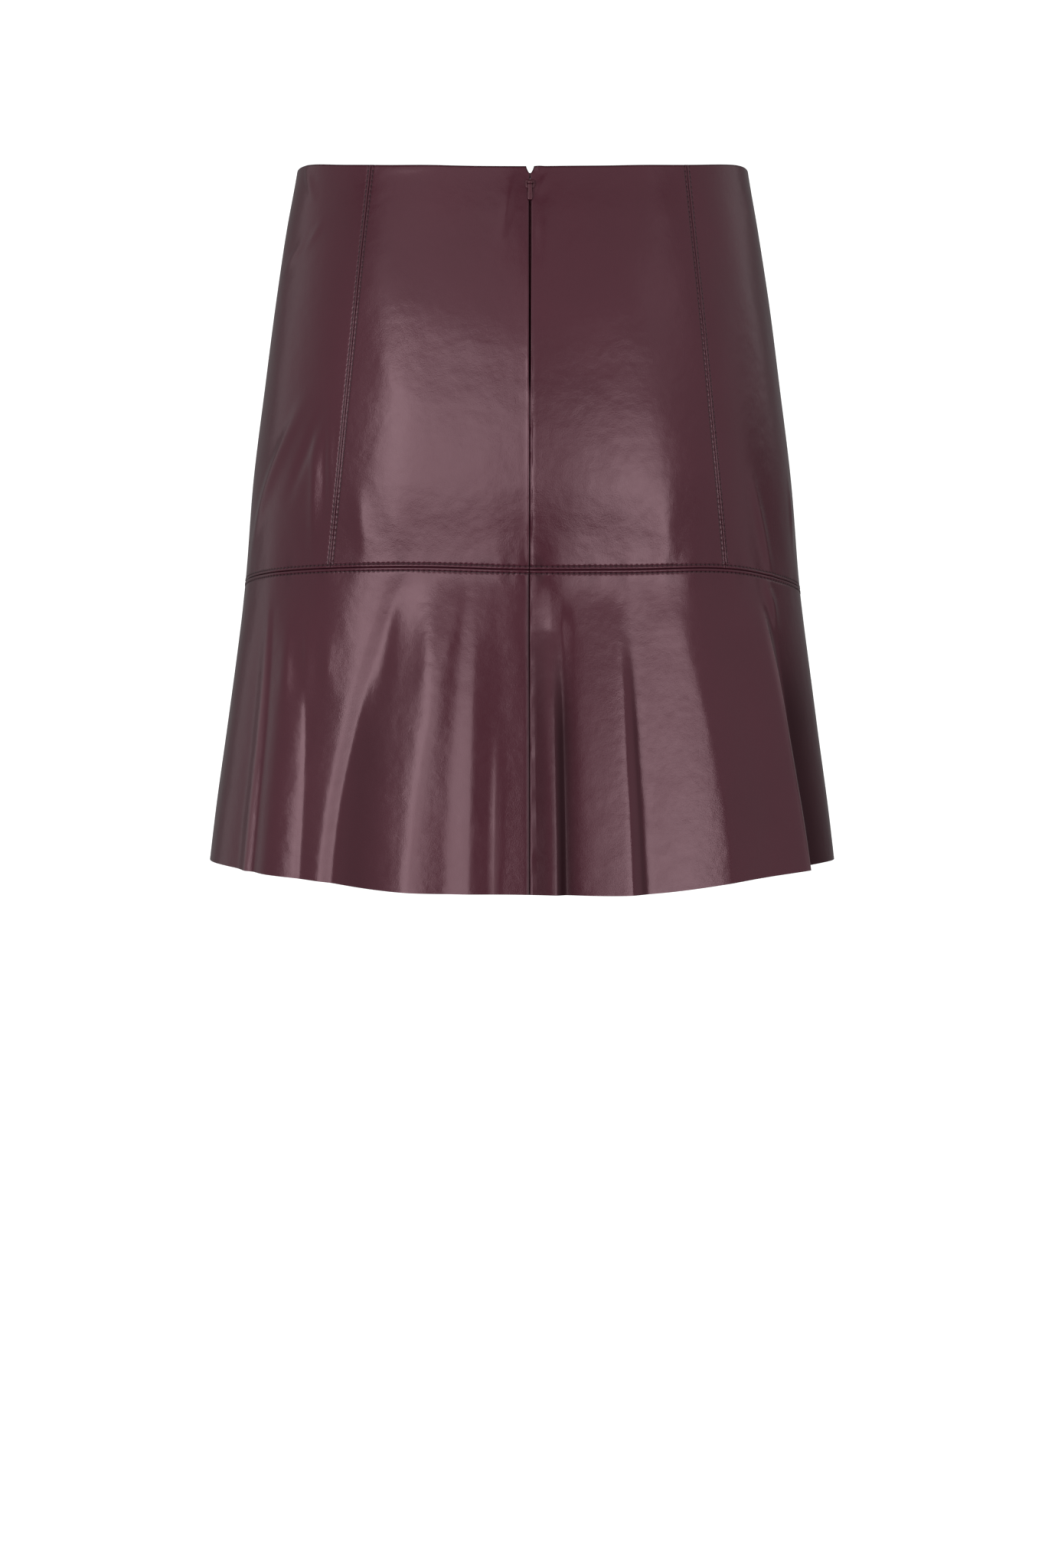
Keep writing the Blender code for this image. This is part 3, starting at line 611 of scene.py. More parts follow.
def middle_ridge(angle, height):
    """Along the middle back the right edge stands up as a narrow uneven ridge.  The left
    edge has a smaller lip above the hip seam and lies under the right one below it."""
    past_middle = past_seam(CENTRE_BACK, angle, height)

    def ridge(shape):
        return shape.rise * bell(past_middle - shape.past, shape.half_width)

    uneven = 1.0 + ripples(height, RIDGE_WAVES)
    on_body = eased((height - RIDGE_CHANGE) / RIDGE_CHANGING)
    left = ridge(LEFT_LIP) * uneven * on_body + ridge(LEFT_UNDER) * (1.0 - on_body)
    both = np.where(past_middle > 0.0, ridge(RIGHT_RIDGE) * uneven, left)
    below_top = eased((height - RIDGE_TOP) / RIDGE_TOP)
    return both * (RIDGE_ABOVE + (1.0 - RIDGE_ABOVE) * below_top)


def puckers(angle, height, from_seam):
    """Small uneven gathers that the hip seam draws up: two waves of different length
    round the body, strongest by the middle of the back."""
    rise = PUCKER_RISE + MIDDLE_PUCKER_RISE * bell(turned(angle), MIDDLE_PUCKER_REACH)
    return rise * ripples(round_body(angle), PUCKERS) * bell(from_seam, PUCKER_REACH)


def sewn(angle, height):
    """How far seams, stitch rows and turned edges move the leather."""
    above_hip = height - edge_height("hip_seam", angle)
    on_body = above_hip >= 0.0
    from_hip = np.abs(above_hip)
    from_waist = edge_height("waist", angle) - height
    from_middle = np.abs(past_seam(CENTRE_BACK, angle, height))
    from_slit = np.maximum(from_middle - slit_half_width(height), 0.0)
    from_side = np.abs(np.abs(turned(angle)) - SIDE) * width_of_degree(angle, height)
    open_slit = eased((height - ZIP_END) / SLIT_CLOSING)
    slit_roll = SEAM_ROLL + (SLIT_ROLL - SEAM_ROLL) * open_slit
    slit_depth = SEAM_DEPTH + (SLIT_DEPTH - SEAM_DEPTH) * open_slit
    edge = rolled(from_hip, SEAM_ROLL, SEAM_DEPTH)
    edge = np.minimum(edge, rolled(from_waist, WAIST_ROLL, WAIST_DEPTH))
    edge = np.minimum(edge, rolled(from_slit, slit_roll, slit_depth))
    edge = np.minimum(edge, rolled(from_side, SEAM_ROLL, SEAM_DEPTH))
    lift = topstitched(from_hip, np.where(on_body, STITCH_ABOVE, STITCH_BELOW))
    for seam in (LEFT_BACK, RIGHT_BACK):
        from_seam = np.abs(past_seam(seam, angle, height))
        row = topstitched(from_seam, STITCH_BESIDE)
        lift = lift + np.where(on_body, row, 0.0)
        turned_in = np.where(on_body, rolled(from_seam, SEAM_ROLL, SEAM_DEPTH), 0.0)
        edge = np.minimum(edge, turned_in)
    lift = lift + middle_ridge(angle, height)
    return edge + lift + puckers(angle, height, from_hip)


def leather_point(angle, height, depth=0.0):
    """A point of the finished outer face, or depth below it along the face's normal."""
    stand = creases(angle, height) + sewn(angle, height) - depth
    return folded_point(angle, height) + face_normal(angle, height) * stand[..., None]


# ---------------------------------------------------------------- meshes
def new_piece(name, points, face_sets, finishes, finish_numbers=None, sharp=50.0):
    """A smooth-shaded mesh at the origin, from points in millimetres and arrays of
    faces, each array's faces with the same number of corners."""
    mesh = bpy.data.meshes.new(name)
    corners = np.concatenate([faces.ravel() for faces in face_sets]).astype(np.int32)
    sizes = np.concatenate([np.full(len(faces), faces.shape[1]) for faces in face_sets])
    starts = np.concatenate([[0], np.cumsum(sizes)[:-1]]).astype(np.int32)
    mesh.vertices.add(len(points))
    mesh.vertices.foreach_set("co", (points * MM).astype(np.float32).ravel())
    mesh.loops.add(len(corners))
    mesh.loops.foreach_set("vertex_index", corners)
    mesh.polygons.add(len(sizes))
    mesh.polygons.foreach_set("loop_start", starts)
    for finish in finishes:
        mesh.materials.append(finish)
    if finish_numbers is not None:
        mesh.polygons.foreach_set("material_index", finish_numbers.astype(np.int32))
    mesh.update(calc_edges=True)
    mesh.shade_smooth()
    mesh.set_sharp_from_angle(angle=math.radians(sharp))
    piece = bpy.data.objects.new(name, mesh)
    bpy.context.scene.collection.objects.link(piece)
    return piece


def lay_map(piece, u, v):
    """The piece's own UV map, in metres, from one (u, v) for each point in millimetres."""
    mesh = piece.data
    layer = mesh.uv_layers.new(name="cut")
    corner_points = np.empty(len(mesh.loops), dtype=np.int32)
    mesh.loops.foreach_get("vertex_index", corner_points)
    places = np.stack([u.ravel(), v.ravel()], axis=-1)[corner_points] * MM
    layer.data.foreach_set("uv", places.astype(np.float32).ravel())


def lay_values(piece, name, values):
    """One number for each point, which a finish can read by its name."""
    layer = piece.data.attributes.new(name, "FLOAT", "POINT")
    layer.data.foreach_set("value", values.astype(np.float32).ravel())


def grid_faces(rows, columns, around=False):
    """The quads of a grid of points.  around joins the last column to the first."""
    index = np.arange(rows * columns).reshape(rows, columns)
    if around:
        index = np.concatenate([index, index[:, :1]], axis=1)
    quads = np.stack([index[:-1, :-1], index[1:, :-1], index[1:, 1:], index[:-1, 1:]], axis=-1)
    return quads.reshape(-1, 4)


def rim_of(rows, columns):
    """Point numbers round a grid's border."""
    index = np.arange(rows * columns).reshape(rows, columns)
    return np.concatenate([index[0, :-1], index[:-1, -1], index[-1, :0:-1], index[:0:-1, 0]])


def wall(name, outer, inner, finishes):
    """A closed wall between two grids of points.  The inside takes the second finish."""
    rows, columns = outer.shape[:2]
    count = rows * columns
    front = grid_faces(rows, columns)
    back = front[:, ::-1] + count
    rim = rim_of(rows, columns)
    after = np.roll(rim, -1)
    border = np.stack([rim, after, after + count, rim + count], axis=-1)
    numbers = np.concatenate([np.zeros(len(front)), np.ones(len(back)), np.zeros(len(border))])
    points = np.concatenate([outer.reshape(-1, 3), inner.reshape(-1, 3)])
    numbers = np.minimum(numbers, len(finishes) - 1)
    return new_piece(name, points, [front, back, border], finishes, numbers)


# ---------------------------------------------------------------- leather pieces
# Distances from an edge at which a piece has points, before its even spacing begins.
SEWN_STEPS = (0.0, 0.02, 0.09, 0.22, 0.42, 0.66, 0.9, 1.2, 1.45, 1.7, 2.0, 2.3, 2.65, 3.1, 4.2)
SLIT_STEPS = (0.0, 0.04, 0.15, 0.4, 0.75, 1.15, 1.6, 2.4, 3.6)
WAIST_STEPS = (0.0, 0.04, 0.16, 0.42, 0.8, 1.25, 1.7, 2.3, 3.0, 3.7, 4.1, 4.4, 4.8, 5.6, 7.0)
HEM_STEPS = (0.0, 1.2)
BACK_SPACING = 1.9
FRONT_SPACING = 2.8
BODY_DROP = 250.0          # rough lengths, which only set how many points a grid has
FRONT_WIDTH = 430.0
FLOUNCE_DROP = 188.0
BACK_GRID = (0.6, 2.1)     # a flounce's columns in degrees at the hem and rows in height
FRONT_GRID = (0.9, 2.6)
MIDDLE_LINE = 1.5          # hem angle between the left and the right piece's fold lines


def graded(length, spacing, first, last):
    """Shares of a length at which a grid has points: small steps from both ends and
    even ones between."""
    first = np.asarray(first)
    last = np.asarray(last)
    between = length - first[-1] - last[-1]
    count = max(1, math.ceil(between / spacing))
    middle = first[-1] + between * np.arange(1, count) / count
    return np.concatenate([first, middle, length - last[::-1]]) / length


def beside(seam, side):
    """The edge of a piece that stops just before (-1) or just after (+1) a seam."""
    def edge(height):
        gap = slit_half_width(height) if seam is CENTRE_BACK else SEWN_GAP
        angle = seam_angle(seam, height)
        return angle + side * gap / width_of_degree(angle, height)
    return edge


def at_side(angle, inwards):
    """The edge of a piece at a side seam, inwards being the way to the piece."""
    def edge(height):
        return angle + inwards * SEWN_GAP / width_of_degree(angle, height)
    return edge


def along(edge, shift):
    """The waist edge, hip seam or hem as a piece's top or bottom, moved up by shift."""
    return lambda angle: edge_height(edge, angle) + shift


def laid(left, right, top, bottom, across, down):
    """Angles and heights of a grid between four edges.  across and down are its shares.
    Each edge depends on the other, so they are come to in a few rounds."""
    height = np.full((len(down), len(across)), HIP_HEIGHT / 2.0)
    for _ in range(4):
        angle = left(height) + (right(height) - left(height)) * across[None, :]
        height = top(angle) + (bottom(angle) - top(angle)) * down[:, None]
    return angle, height


def leather(name, angle, height, finishes):
    """A leather piece on a grid of angles and heights, with its map, its creases, its stitch
    places, and the values that lay its painted shade and painted glints.
    """
    stand = creases(angle, height)
    edges = sewn(angle, height)
    from_hem = height - edge_height("hem", angle)
    thick = CUT_EDGE + (WALL - CUT_EDGE) * eased(from_hem / CUT_EDGE_RISE)
    base = folded_point(angle, height)
    normal = face_normal(angle, height)
    outer = base + normal * (stand + edges)[..., None]
    inner = base + normal * (stand - thick)[..., None]
    piece = wall("leather_" + name, outer, inner, finishes)
    place = round_body(angle)
    lay_map(piece, np.tile(place, (2, 1)), np.tile(height, (2, 1)))
    # Painted shade where sewn and folded edges turn in: 0 on the face, 1 as deep as DARK_DEPTH.
    sunk = np.clip(-edges / DARK_DEPTH, 0.0, 1.0)
    from_row, along_row, pull = stitch_places(angle, height)
    lay_values(piece, "sunk", np.tile(sunk, (2, 1)))
    lay_values(piece, "from_row", np.tile(from_row, (2, 1)))
    lay_values(piece, "along_row", np.tile(along_row, (2, 1)))
    lay_values(piece, "pull", np.tile(pull, (2, 1)))
    # painted shade in the depths of the folds
    lay_values(piece, "hollow", np.tile(streaked(PAINTED_FOLD_SHADES, angle, height), (2, 1)))
    # painted glint along the sharp ridges
    lay_values(piece, "rubbed", np.tile(streaked(PAINTED_GLINTS, angle, height), (2, 1)))
    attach(piece, "skirt")
    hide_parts(name)
    return piece


# Each piece's flat cut: the width and length of the hide it takes, and its own area.
Cut = namedtuple("Cut", "width length area")


def cut_piece(name, grid, finishes, hangs_from):
    """A leather piece."""
    piece = leather(name, *grid, finishes)
    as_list(hangs_from)


def make_body(finishes):
    """The five panels from the waist to the hip seam."""
    waist = along("waist", 0.0)
    hip = along("hip_seam", SEWN_GAP)
    panels = (
        ("back_left", beside(LEFT_BACK, 1), beside(CENTRE_BACK, -1),
         113.0, SEWN_STEPS, SLIT_STEPS),
        ("back_right", beside(CENTRE_BACK, 1), beside(RIGHT_BACK, -1),
         115.0, SLIT_STEPS, SEWN_STEPS),
        ("side_back_left", at_side(-SIDE, 1), beside(LEFT_BACK, -1),
         128.0, SLIT_STEPS, SEWN_STEPS),
        ("side_back_right", beside(RIGHT_BACK, 1), at_side(SIDE, -1),
         120.0, SEWN_STEPS, SLIT_STEPS),
        ("front", at_side(SIDE, 1), at_side(360.0 - SIDE, -1),
         FRONT_WIDTH, SLIT_STEPS, SLIT_STEPS),
    )
    for name, left, right, width, first, last in panels:
        spacing = FRONT_SPACING if name == "front" else BACK_SPACING
        down = graded(BODY_DROP, spacing, WAIST_STEPS, SEWN_STEPS)
        across = graded(width, spacing, first, last)
        cut_piece(name, laid(left, right, waist, hip, across, down), finishes, [])


def flounce_grid(left, right, lines, degrees, spacing):
    """Angles and heights of a flounce piece whose columns follow its fold lines.  degrees
    is one column's width at the hem, and spacing one row's height."""
    down = graded(FLOUNCE_DROP, spacing, SEWN_STEPS, HEM_STEPS)
    top = along("hip_seam", -SEWN_GAP)
    hem = along("hem", 0.0)
    guides = [np.full(len(down), math.nan)] * (len(lines) + 2)
    for number, line in enumerate(lines):
        guides[number + 1] = line_angle(line, down)
    for number, edge in ((0, left), (-1, right)):
        height = top(0.0) + (hem(0.0) - top(0.0)) * down
        for _ in range(4):
            guides[number] = edge(height)
            height = top(guides[number]) + (hem(guides[number]) - top(guides[number])) * down
    edge_steps = np.array(SLIT_STEPS) / 3.0
    columns = []
    for number in range(len(guides) - 1):
        gap = guides[number + 1][-1] - guides[number][-1]
        first, last = edge_steps, edge_steps
        if number > 0:
            first = np.array([0.0, 0.4, 1.0]) * min(lines[number - 1].rounding, gap / 4.0)
        if number < len(lines):
            last = np.array([0.0, 0.4, 1.0]) * min(lines[number].rounding, gap / 4.0)
        shares = graded(gap, degrees, first, last)
        span = guides[number + 1] - guides[number]
        stretch = guides[number][:, None] + span[:, None] * shares[None, :]
        columns.append(stretch if number == 0 else stretch[:, 1:])
    angle = np.concatenate(columns, axis=1)
    height = top(angle) + (hem(angle) - top(angle)) * down[:, None]
    return angle, height


def make_flounce(finishes):
    """Two back pieces joined under the zip, and one front piece: each one's edges, the hem
    angles between which its fold lines lie, its grid, and what it is sewn to."""
    pieces = (
        ("flounce_back_left", at_side(-SIDE, 1), beside(CENTRE_BACK, -1),
         (-SIDE, MIDDLE_LINE), BACK_GRID, ["leather_back_left", "leather_side_back_left"]),
        ("flounce_back_right", beside(CENTRE_BACK, 1), at_side(SIDE, -1),
         (MIDDLE_LINE, SIDE), BACK_GRID, ["leather_back_right", "leather_side_back_right"]),
        ("flounce_front", at_side(SIDE, 1), at_side(360.0 - SIDE, -1),
         (SIDE, 360.0 - SIDE), FRONT_GRID, ["leather_front"]),
    )
    for name, left, right, (low, high), grid, hangs_from in pieces:
        lines = [line for line in FOLD_LINES if low < line.hem < high]
        cut_piece(name, flounce_grid(left, right, lines, *grid), finishes, hangs_from)


# ---------------------------------------------------------------- topstitching
STITCH_SIDES = 6
STITCH_SWELL = (0.45, 0.95, 1.05, 0.95, 0.45)   # the thread's shares of its radius, end to end
STITCH_RINGS = len(STITCH_SWELL)
STITCH_SUNK = 0.9          # how deep its ends lie, in radii
STITCH_RISE = 1.35         # and how far its middle rises from there


def stitch_row(name, angle, height, ruler, sizes, finish):
    """Stitches along a line of angles and heights, spaced by a ruler laid along it.
    Each is a thread whose centre rises out of its hole and dips into the next (a half
    sine), with round closed ends."""
    pitch, length, radius = sizes
    first = math.ceil(ruler[0] / pitch)
    count = int(ruler[-1] // pitch) - first
    start = (first + np.arange(count)) * pitch + (pitch - length) / 2.0
    share = np.linspace(0.0, 1.0, STITCH_RINGS)
    place = start[:, None] + length * share[None, :]
    ring_angle = np.interp(place, ruler, angle)
    ring_height = np.interp(place, ruler, height)
    dip = radius * (STITCH_SUNK - STITCH_RISE * np.sin(math.pi * share) ** 0.6)
    centre = leather_point(ring_angle, ring_height, np.broadcast_to(dip, place.shape))
    out = face_normal(ring_angle, ring_height)
    forward = np.gradient(centre, axis=1)
    forward = forward / length_of(forward)
    beside_thread = np.cross(forward, out)
    turn = np.linspace(0.0, 2.0 * math.pi, STITCH_SIDES, endpoint=False)
    swell = radius * np.array(STITCH_SWELL)
    spread = (beside_thread[:, :, None] * np.cos(turn)[None, None, :, None]
              + out[:, :, None] * np.sin(turn)[None, None, :, None])
    rings = centre[:, :, None] + spread * swell[None, :, None, None]
    per_stitch = STITCH_RINGS * STITCH_SIDES
    first = (np.arange(count) * per_stitch)[:, None, None]
    sides = (grid_faces(STITCH_RINGS, STITCH_SIDES, around=True)[None] + first).reshape(-1, 4)
    near = np.arange(STITCH_SIDES)[None, None, :] + first
    far = near[:, :, ::-1] + per_stitch - STITCH_SIDES
    caps = np.concatenate([near, far], axis=1).reshape(-1, STITCH_SIDES)
    row = new_piece(name, rings.reshape(-1, 3), [sides, caps], [finish], sharp=80.0)
    lay_map(row, np.broadcast_to(place[:, :, None], rings.shape[:3]),
            np.broadcast_to(turn[None, None, :] / (2.0 * math.pi), rings.shape[:3]))
    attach(row, "skirt")
    return row


def make_topstitching(sizes, finish):
    """One row above and one below the hip seam all round, and two along each princess
    seam."""
    angle = np.linspace(-180.0, 180.0, 1441)
    hip = edge_height("hip_seam", angle)
    ruler = RULER[-1] * (angle + 180.0) / 360.0
    ruler[1:-1] = round_body(angle[1:-1])
    stitch_row("topstitch_hip_upper", angle, hip + STITCH_ABOVE, ruler, sizes, finish)
    stitch_row("topstitch_hip_lower", angle, hip - STITCH_BELOW, ruler, sizes, finish)
    for seam_name, seam in (("left", LEFT_BACK), ("right", RIGHT_BACK)):
        top = edge_height("waist", seam_angle(seam, -5.0)) - 1.8
        foot = edge_height("hip_seam", seam_angle(seam, HIP_HEIGHT)) + STITCH_ABOVE + 0.4
        height = np.linspace(top, foot, 400)
        middle = seam_angle(seam, height)
        aside = STITCH_BESIDE / width_of_degree(middle, height)
        for side_name, side in (("outer", np.sign(seam.at_hip)), ("inner", -np.sign(seam.at_hip))):
            name = f"topstitch_{seam_name}_{side_name}"
            stitch_row(name, middle + side * aside, height, -height, sizes, finish)


# ---------------------------------------------------------------- the zip
BEHIND = 1.8               # depth of the zip's face behind the leather's outer face
COIL_TOP = -25.0
COIL_FOOT = -159.0
COIL_REACH = 2.7           # how far a coil spreads from the middle
COIL_OVERLAP = 0.55        # how far it passes the middle, into the other coil
COIL_DEPTH = 1.2
TAPE_INNER = 3.0
TAPE_WIDTH = 10.0
TAPE_THICKNESS = 0.7
TAPE_TOP = -11.0
TAPE_FOOT = -171.0
SELVEDGE_SWELL = 0.12      # the tape is thicker along both edges
SELVEDGE = 0.9             # at this distance from them
SELVEDGE_HALF_WIDTH = math.sqrt(0.2)


def behind_seam(aside, height, depth):
    """A point behind the middle back: aside from the seam along the leather and depth
    behind its outer face, all in millimetres."""
    middle = seam_angle(CENTRE_BACK, height)
    angle = middle + aside / width_of_degree(middle, height)
    return folded_point(angle, height) - face_normal(angle, height) * depth[..., None]


WAY_OUT = np.array([0.0, -1.0, 0.12])


def tube(path, radius, sides):
    """Points of a round wire along a path, one ring for each point of the path, framed
    by the path's direction and the way out of the skirt's back, which is turned a little
    with the path so that the two never line up."""
    forward = np.gradient(path, axis=0)
    forward = forward / length_of(forward)
    across = np.cross(forward, WAY_OUT + 0.37 * forward[:, ::-1])
    across = across / length_of(across)
    other = np.cross(across, forward)
    turn = np.linspace(0.0, 2.0 * math.pi, sides, endpoint=False)
    spread = (across[:, None] * np.cos(turn)[None, :, None]
              + other[:, None] * np.sin(turn)[None, :, None])
    return path[:, None] + radius * spread


def closed_tube(points):
    """Faces of a wire's rings with both ends closed."""
    rings, sides = points.shape[:2]
    walls = grid_faces(rings, sides, around=True)
    near = np.arange(sides)[None]
    far = near[:, ::-1] + (rings - 1) * sides
    return walls, np.concatenate([near, far])


def make_coil(pitch, wire, finish):
    """The closed teeth: two flattened helices side by side, half a turn apart, whose
    inner bends pass each other in the middle."""
    turns = (COIL_TOP - COIL_FOOT) / pitch
    turn = np.linspace(0.0, turns, int(turns * 12))
    all_points, all_walls, all_caps = [], [], []
    count = 0
    for side, phase in ((-1.0, 0.0), (1.0, 0.5)):
        swing = 2.0 * math.pi * (turn + phase)
        centre = (COIL_REACH - COIL_OVERLAP) / 2.0 - wire / 2.0
        reach = (COIL_REACH + COIL_OVERLAP) / 2.0 - wire / 2.0
        aside = side * (centre + reach * np.cos(swing))
        depth = BEHIND + COIL_DEPTH / 2.0 + (COIL_DEPTH - wire) / 2.0 * np.sin(swing)
        height = COIL_TOP - turn * pitch
        points = tube(behind_seam(aside, height, depth), wire / 2.0, 6)
        walls, caps = closed_tube(points)
        all_points.append(points.reshape(-1, 3))
        all_walls.append(walls + count)
        all_caps.append(caps + count)
        count += len(all_points[-1])
    coil = new_piece("zip_teeth", np.concatenate(all_points),
                     [np.concatenate(all_walls), np.concatenate(all_caps)], [finish], sharp=80.0)
    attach(coil, "skirt")
    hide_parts("zip_coil")


def make_tapes(finish):
    """The two tapes, each a thin strip with a rounded selvedge along both edges."""
    for name, side in (("zip_tape_left", -1.0), ("zip_tape_right", 1.0)):
        share = np.linspace(0.0, 1.0, 25)
        height = np.linspace(TAPE_TOP, TAPE_FOOT, 90)[:, None] + 0.0 * share[None, :]
        aside = TAPE_INNER + TAPE_WIDTH * (share if side > 0.0 else 1.0 - share)
        selvedge = np.minimum(share, 1.0 - share) * TAPE_WIDTH
        swell = SELVEDGE_SWELL * (bell(selvedge - SELVEDGE, SELVEDGE_HALF_WIDTH) - 1.0)
        near = np.broadcast_to(BEHIND - swell, height.shape)
        far = np.broadcast_to(BEHIND + TAPE_THICKNESS + swell, height.shape)
        outer = behind_seam(side * aside, height, near)
        inner = behind_seam(side * aside, height, far)
        tape = wall("woven_" + name, outer, inner, [finish])
        across = np.broadcast_to(aside, height.shape)
        lay_map(tape, np.tile(across, (2, 1)), np.tile(height, (2, 1)))
        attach(tape, "skirt")
        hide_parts(name)


# ---------------------------------------------------------------- slider and pull
SLIDER_HEIGHT = -19.5      # height of the pull's pivot
SLIDER_HALF_WIDTH = 2.9
PIVOT_STAND_OFF = 2.8      # pivot bar above the leather
BAIL_WIRE = 0.45           # radius of the bail's wire
BAIL_HALF_WIDTH = 1.85
PULL_LENGTH = 11.2
PULL_HALF_WIDTH = 1.2
PULL_END_HALF_WIDTH = 1.5
PULL_THICKNESS = 1.0
PULL_LEAN = 10.0           # degrees the hanging pull tips in towards the leather
EYE_HOLE = 0.75
EYE_RIM = 0.6

# The slider's rounded blocks, in its own axes: across the zip, out of the leather and up.
Block = namedtuple("Block", "centre half power")
BLOCK_BEHIND = Block((0.0, -BEHIND - 1.2, -0.2), (SLIDER_HALF_WIDTH, 1.2, 4.4), 0.35)
NECK = Block((0.0, -0.9, 0.0), (0.42, 1.5, 2.2), 0.4)
PLATE = Block((0.0, 0.75, 0.0), (SLIDER_HALF_WIDTH, 0.42, 3.0), 0.45)


def slider_axes():
    """The slider's place on the leather and its own axes: across the zip, out of the
    leather, and up along the zip."""
    height = np.array([SLIDER_HEIGHT - 2.0, SLIDER_HEIGHT, SLIDER_HEIGHT + 2.0])
    below, place, above = folded_point(seam_angle(CENTRE_BACK, height), height)
    up = (above - below) * np.array([0.0, 1.0, 1.0])
    up = up / np.linalg.norm(up)
    across = np.array([1.0, 0.0, 0.0])
    return place, np.stack([across, np.cross(across, up), up])


def bent(value, power):
    """A sine or cosine raised to a power and its sign kept: the smaller the power, the
    squarer the shape that it draws."""
    return np.sign(value) * np.abs(value) ** power


def rounded_block(block):
    """A superellipsoid as a grid of poles and rings: a box whose edges are the rounder,
    the nearer its power is to 1."""
    rise = np.linspace(-math.pi / 2.0, math.pi / 2.0, 15)[1:-1, None]
    turn = np.linspace(0.0, 2.0 * math.pi, 24, endpoint=False)[None, :]
    level = bent(np.cos(rise), block.power)
    shape = [level * bent(np.cos(turn), block.power), level * bent(np.sin(turn), block.power),
             bent(np.sin(rise), block.power) + 0.0 * turn]
    points = np.stack(shape, axis=-1) * np.array(block.half) + np.array(block.centre)
    walls, caps = closed_tube(points)
    return points.reshape(-1, 3), walls[:, ::-1], caps[:, ::-1]


def wire(path, radius, sides=12):
    """A round wire with closed ends along a path in the slider's own axes."""
    path = np.array(path)
    points = tube(path, radius, sides)
    walls, caps = closed_tube(points)
    return points.reshape(-1, 3), walls, caps


def gathered(name, shapes, place, axes, finish):
    """One piece from several closed shapes given in the slider's own axes."""
    points, walls, caps = [], [], []
    count = 0
    for shape_points, shape_walls, shape_caps in shapes:
        points.append(shape_points @ axes + place)
        walls.append(shape_walls + count)
        caps += [shape_caps + count]
        count += len(shape_points)
    face_sets = [np.concatenate(walls)] + caps
    return new_piece(name, np.concatenate(points), face_sets, [finish], sharp=60.0)


def bail_path():
    """An inverted U of wire: up one side, across the pivot, and down the other."""
    foot = 0.8
    bend = 0.6
    turn = np.linspace(0.0, math.pi / 2.0, 7)
    left_x = -BAIL_HALF_WIDTH + bend * (1.0 - np.cos(turn))
    y = PIVOT_STAND_OFF - bend * (1.0 - np.sin(turn))
    up = np.stack([left_x, y, 0.0 * y], axis=-1)
    down = up[::-1] * np.array([-1.0, 1.0, 1.0])
    start = np.array([[-BAIL_HALF_WIDTH, foot, 0.0], [-BAIL_HALF_WIDTH, (foot + y[0]) / 2.0, 0.0]])
    end = start[::-1] * np.array([-1.0, 1.0, 1.0])
    return np.concatenate([start, up, down, end])


def make_slider(finish):
    """The slider: a body behind the slit, a neck through it, a rounded plate outside and
    the bail that carries the pull."""
    place, axes = slider_axes()
    shapes = [rounded_block(block) for block in (BLOCK_BEHIND, NECK, PLATE)]
    shapes.append(wire(bail_path(), BAIL_WIRE))
    slider = gathered("slider_body", shapes, place, axes, finish)
    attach(slider, "skirt")
    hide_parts("zip_slider")


def pull_blade():
    """The blade: a flat oval section carried down from the eye, whose half width follows
    the narrow neck and the wider round end, closed at both ends."""
    down = np.concatenate([np.linspace(0.9, 8.0, 12), np.linspace(8.4, PULL_LENGTH, 14)])
    end_start = PULL_LENGTH - PULL_END_HALF_WIDTH
    widening = eased((down - 4.0) / 4.0)
    half = PULL_HALF_WIDTH + (PULL_END_HALF_WIDTH - PULL_HALF_WIDTH) * widening
    past = np.clip((down - end_start) / PULL_END_HALF_WIDTH, 0.0, 0.995)
    half = half * np.sqrt(1.0 - past**2)
    thick = PULL_THICKNESS / 2.0 * (0.62 + 0.38 * eased((down - 6.0) / 3.0))
    thick = thick * np.sqrt(1.0 - past**4)
    turn = np.linspace(0.0, 2.0 * math.pi, 20, endpoint=False)
    round_x = bent(np.cos(turn), 0.6)
    round_y = bent(np.sin(turn), 0.6)
    points = np.stack([half[:, None] * round_x, thick[:, None] * round_y,
                       -down[:, None] + 0.0 * round_x], axis=-1)
    walls, caps = closed_tube(points)
    return points.reshape(-1, 3), walls, caps


def pull_eye():
    """The eye: a rounded band carried once round the bail's bar."""
    round_bar = np.linspace(0.0, 2.0 * math.pi, 24, endpoint=False)[:, None]
    turn = np.linspace(0.0, 2.0 * math.pi, 12, endpoint=False)[None, :]
    middle = EYE_HOLE + EYE_RIM / 2.0
    reach = middle + EYE_RIM / 2.0 * np.sin(turn)
    across = PULL_HALF_WIDTH * bent(np.cos(turn), 0.5)
    points = np.stack([across + 0.0 * round_bar, reach * np.cos(round_bar),
                       reach * np.sin(round_bar)], axis=-1)
    rings, sides = points.shape[:2]
    faces = grid_faces(rings + 1, sides, around=True) % (rings * sides)
    return points.reshape(-1, 3), faces[:, ::-1], np.zeros((0, 4), dtype=int)


def make_pull(finish):
    """The pull tab, hanging from the bail and leaning in towards the leather."""
    place, axes = slider_axes()
    pivot = place + axes[1] * PIVOT_STAND_OFF
    lean = math.radians(-PULL_LEAN)
    tip = np.array([[1.0, 0.0, 0.0], [0.0, math.cos(lean), math.sin(lean)],
                    [0.0, -math.sin(lean), math.cos(lean)]])
    pull = gathered("pull_tab", [pull_blade(), pull_eye()], pivot, tip @ axes, finish)
    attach(pull, "zip_pull")
    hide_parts("zip_pull_tab")


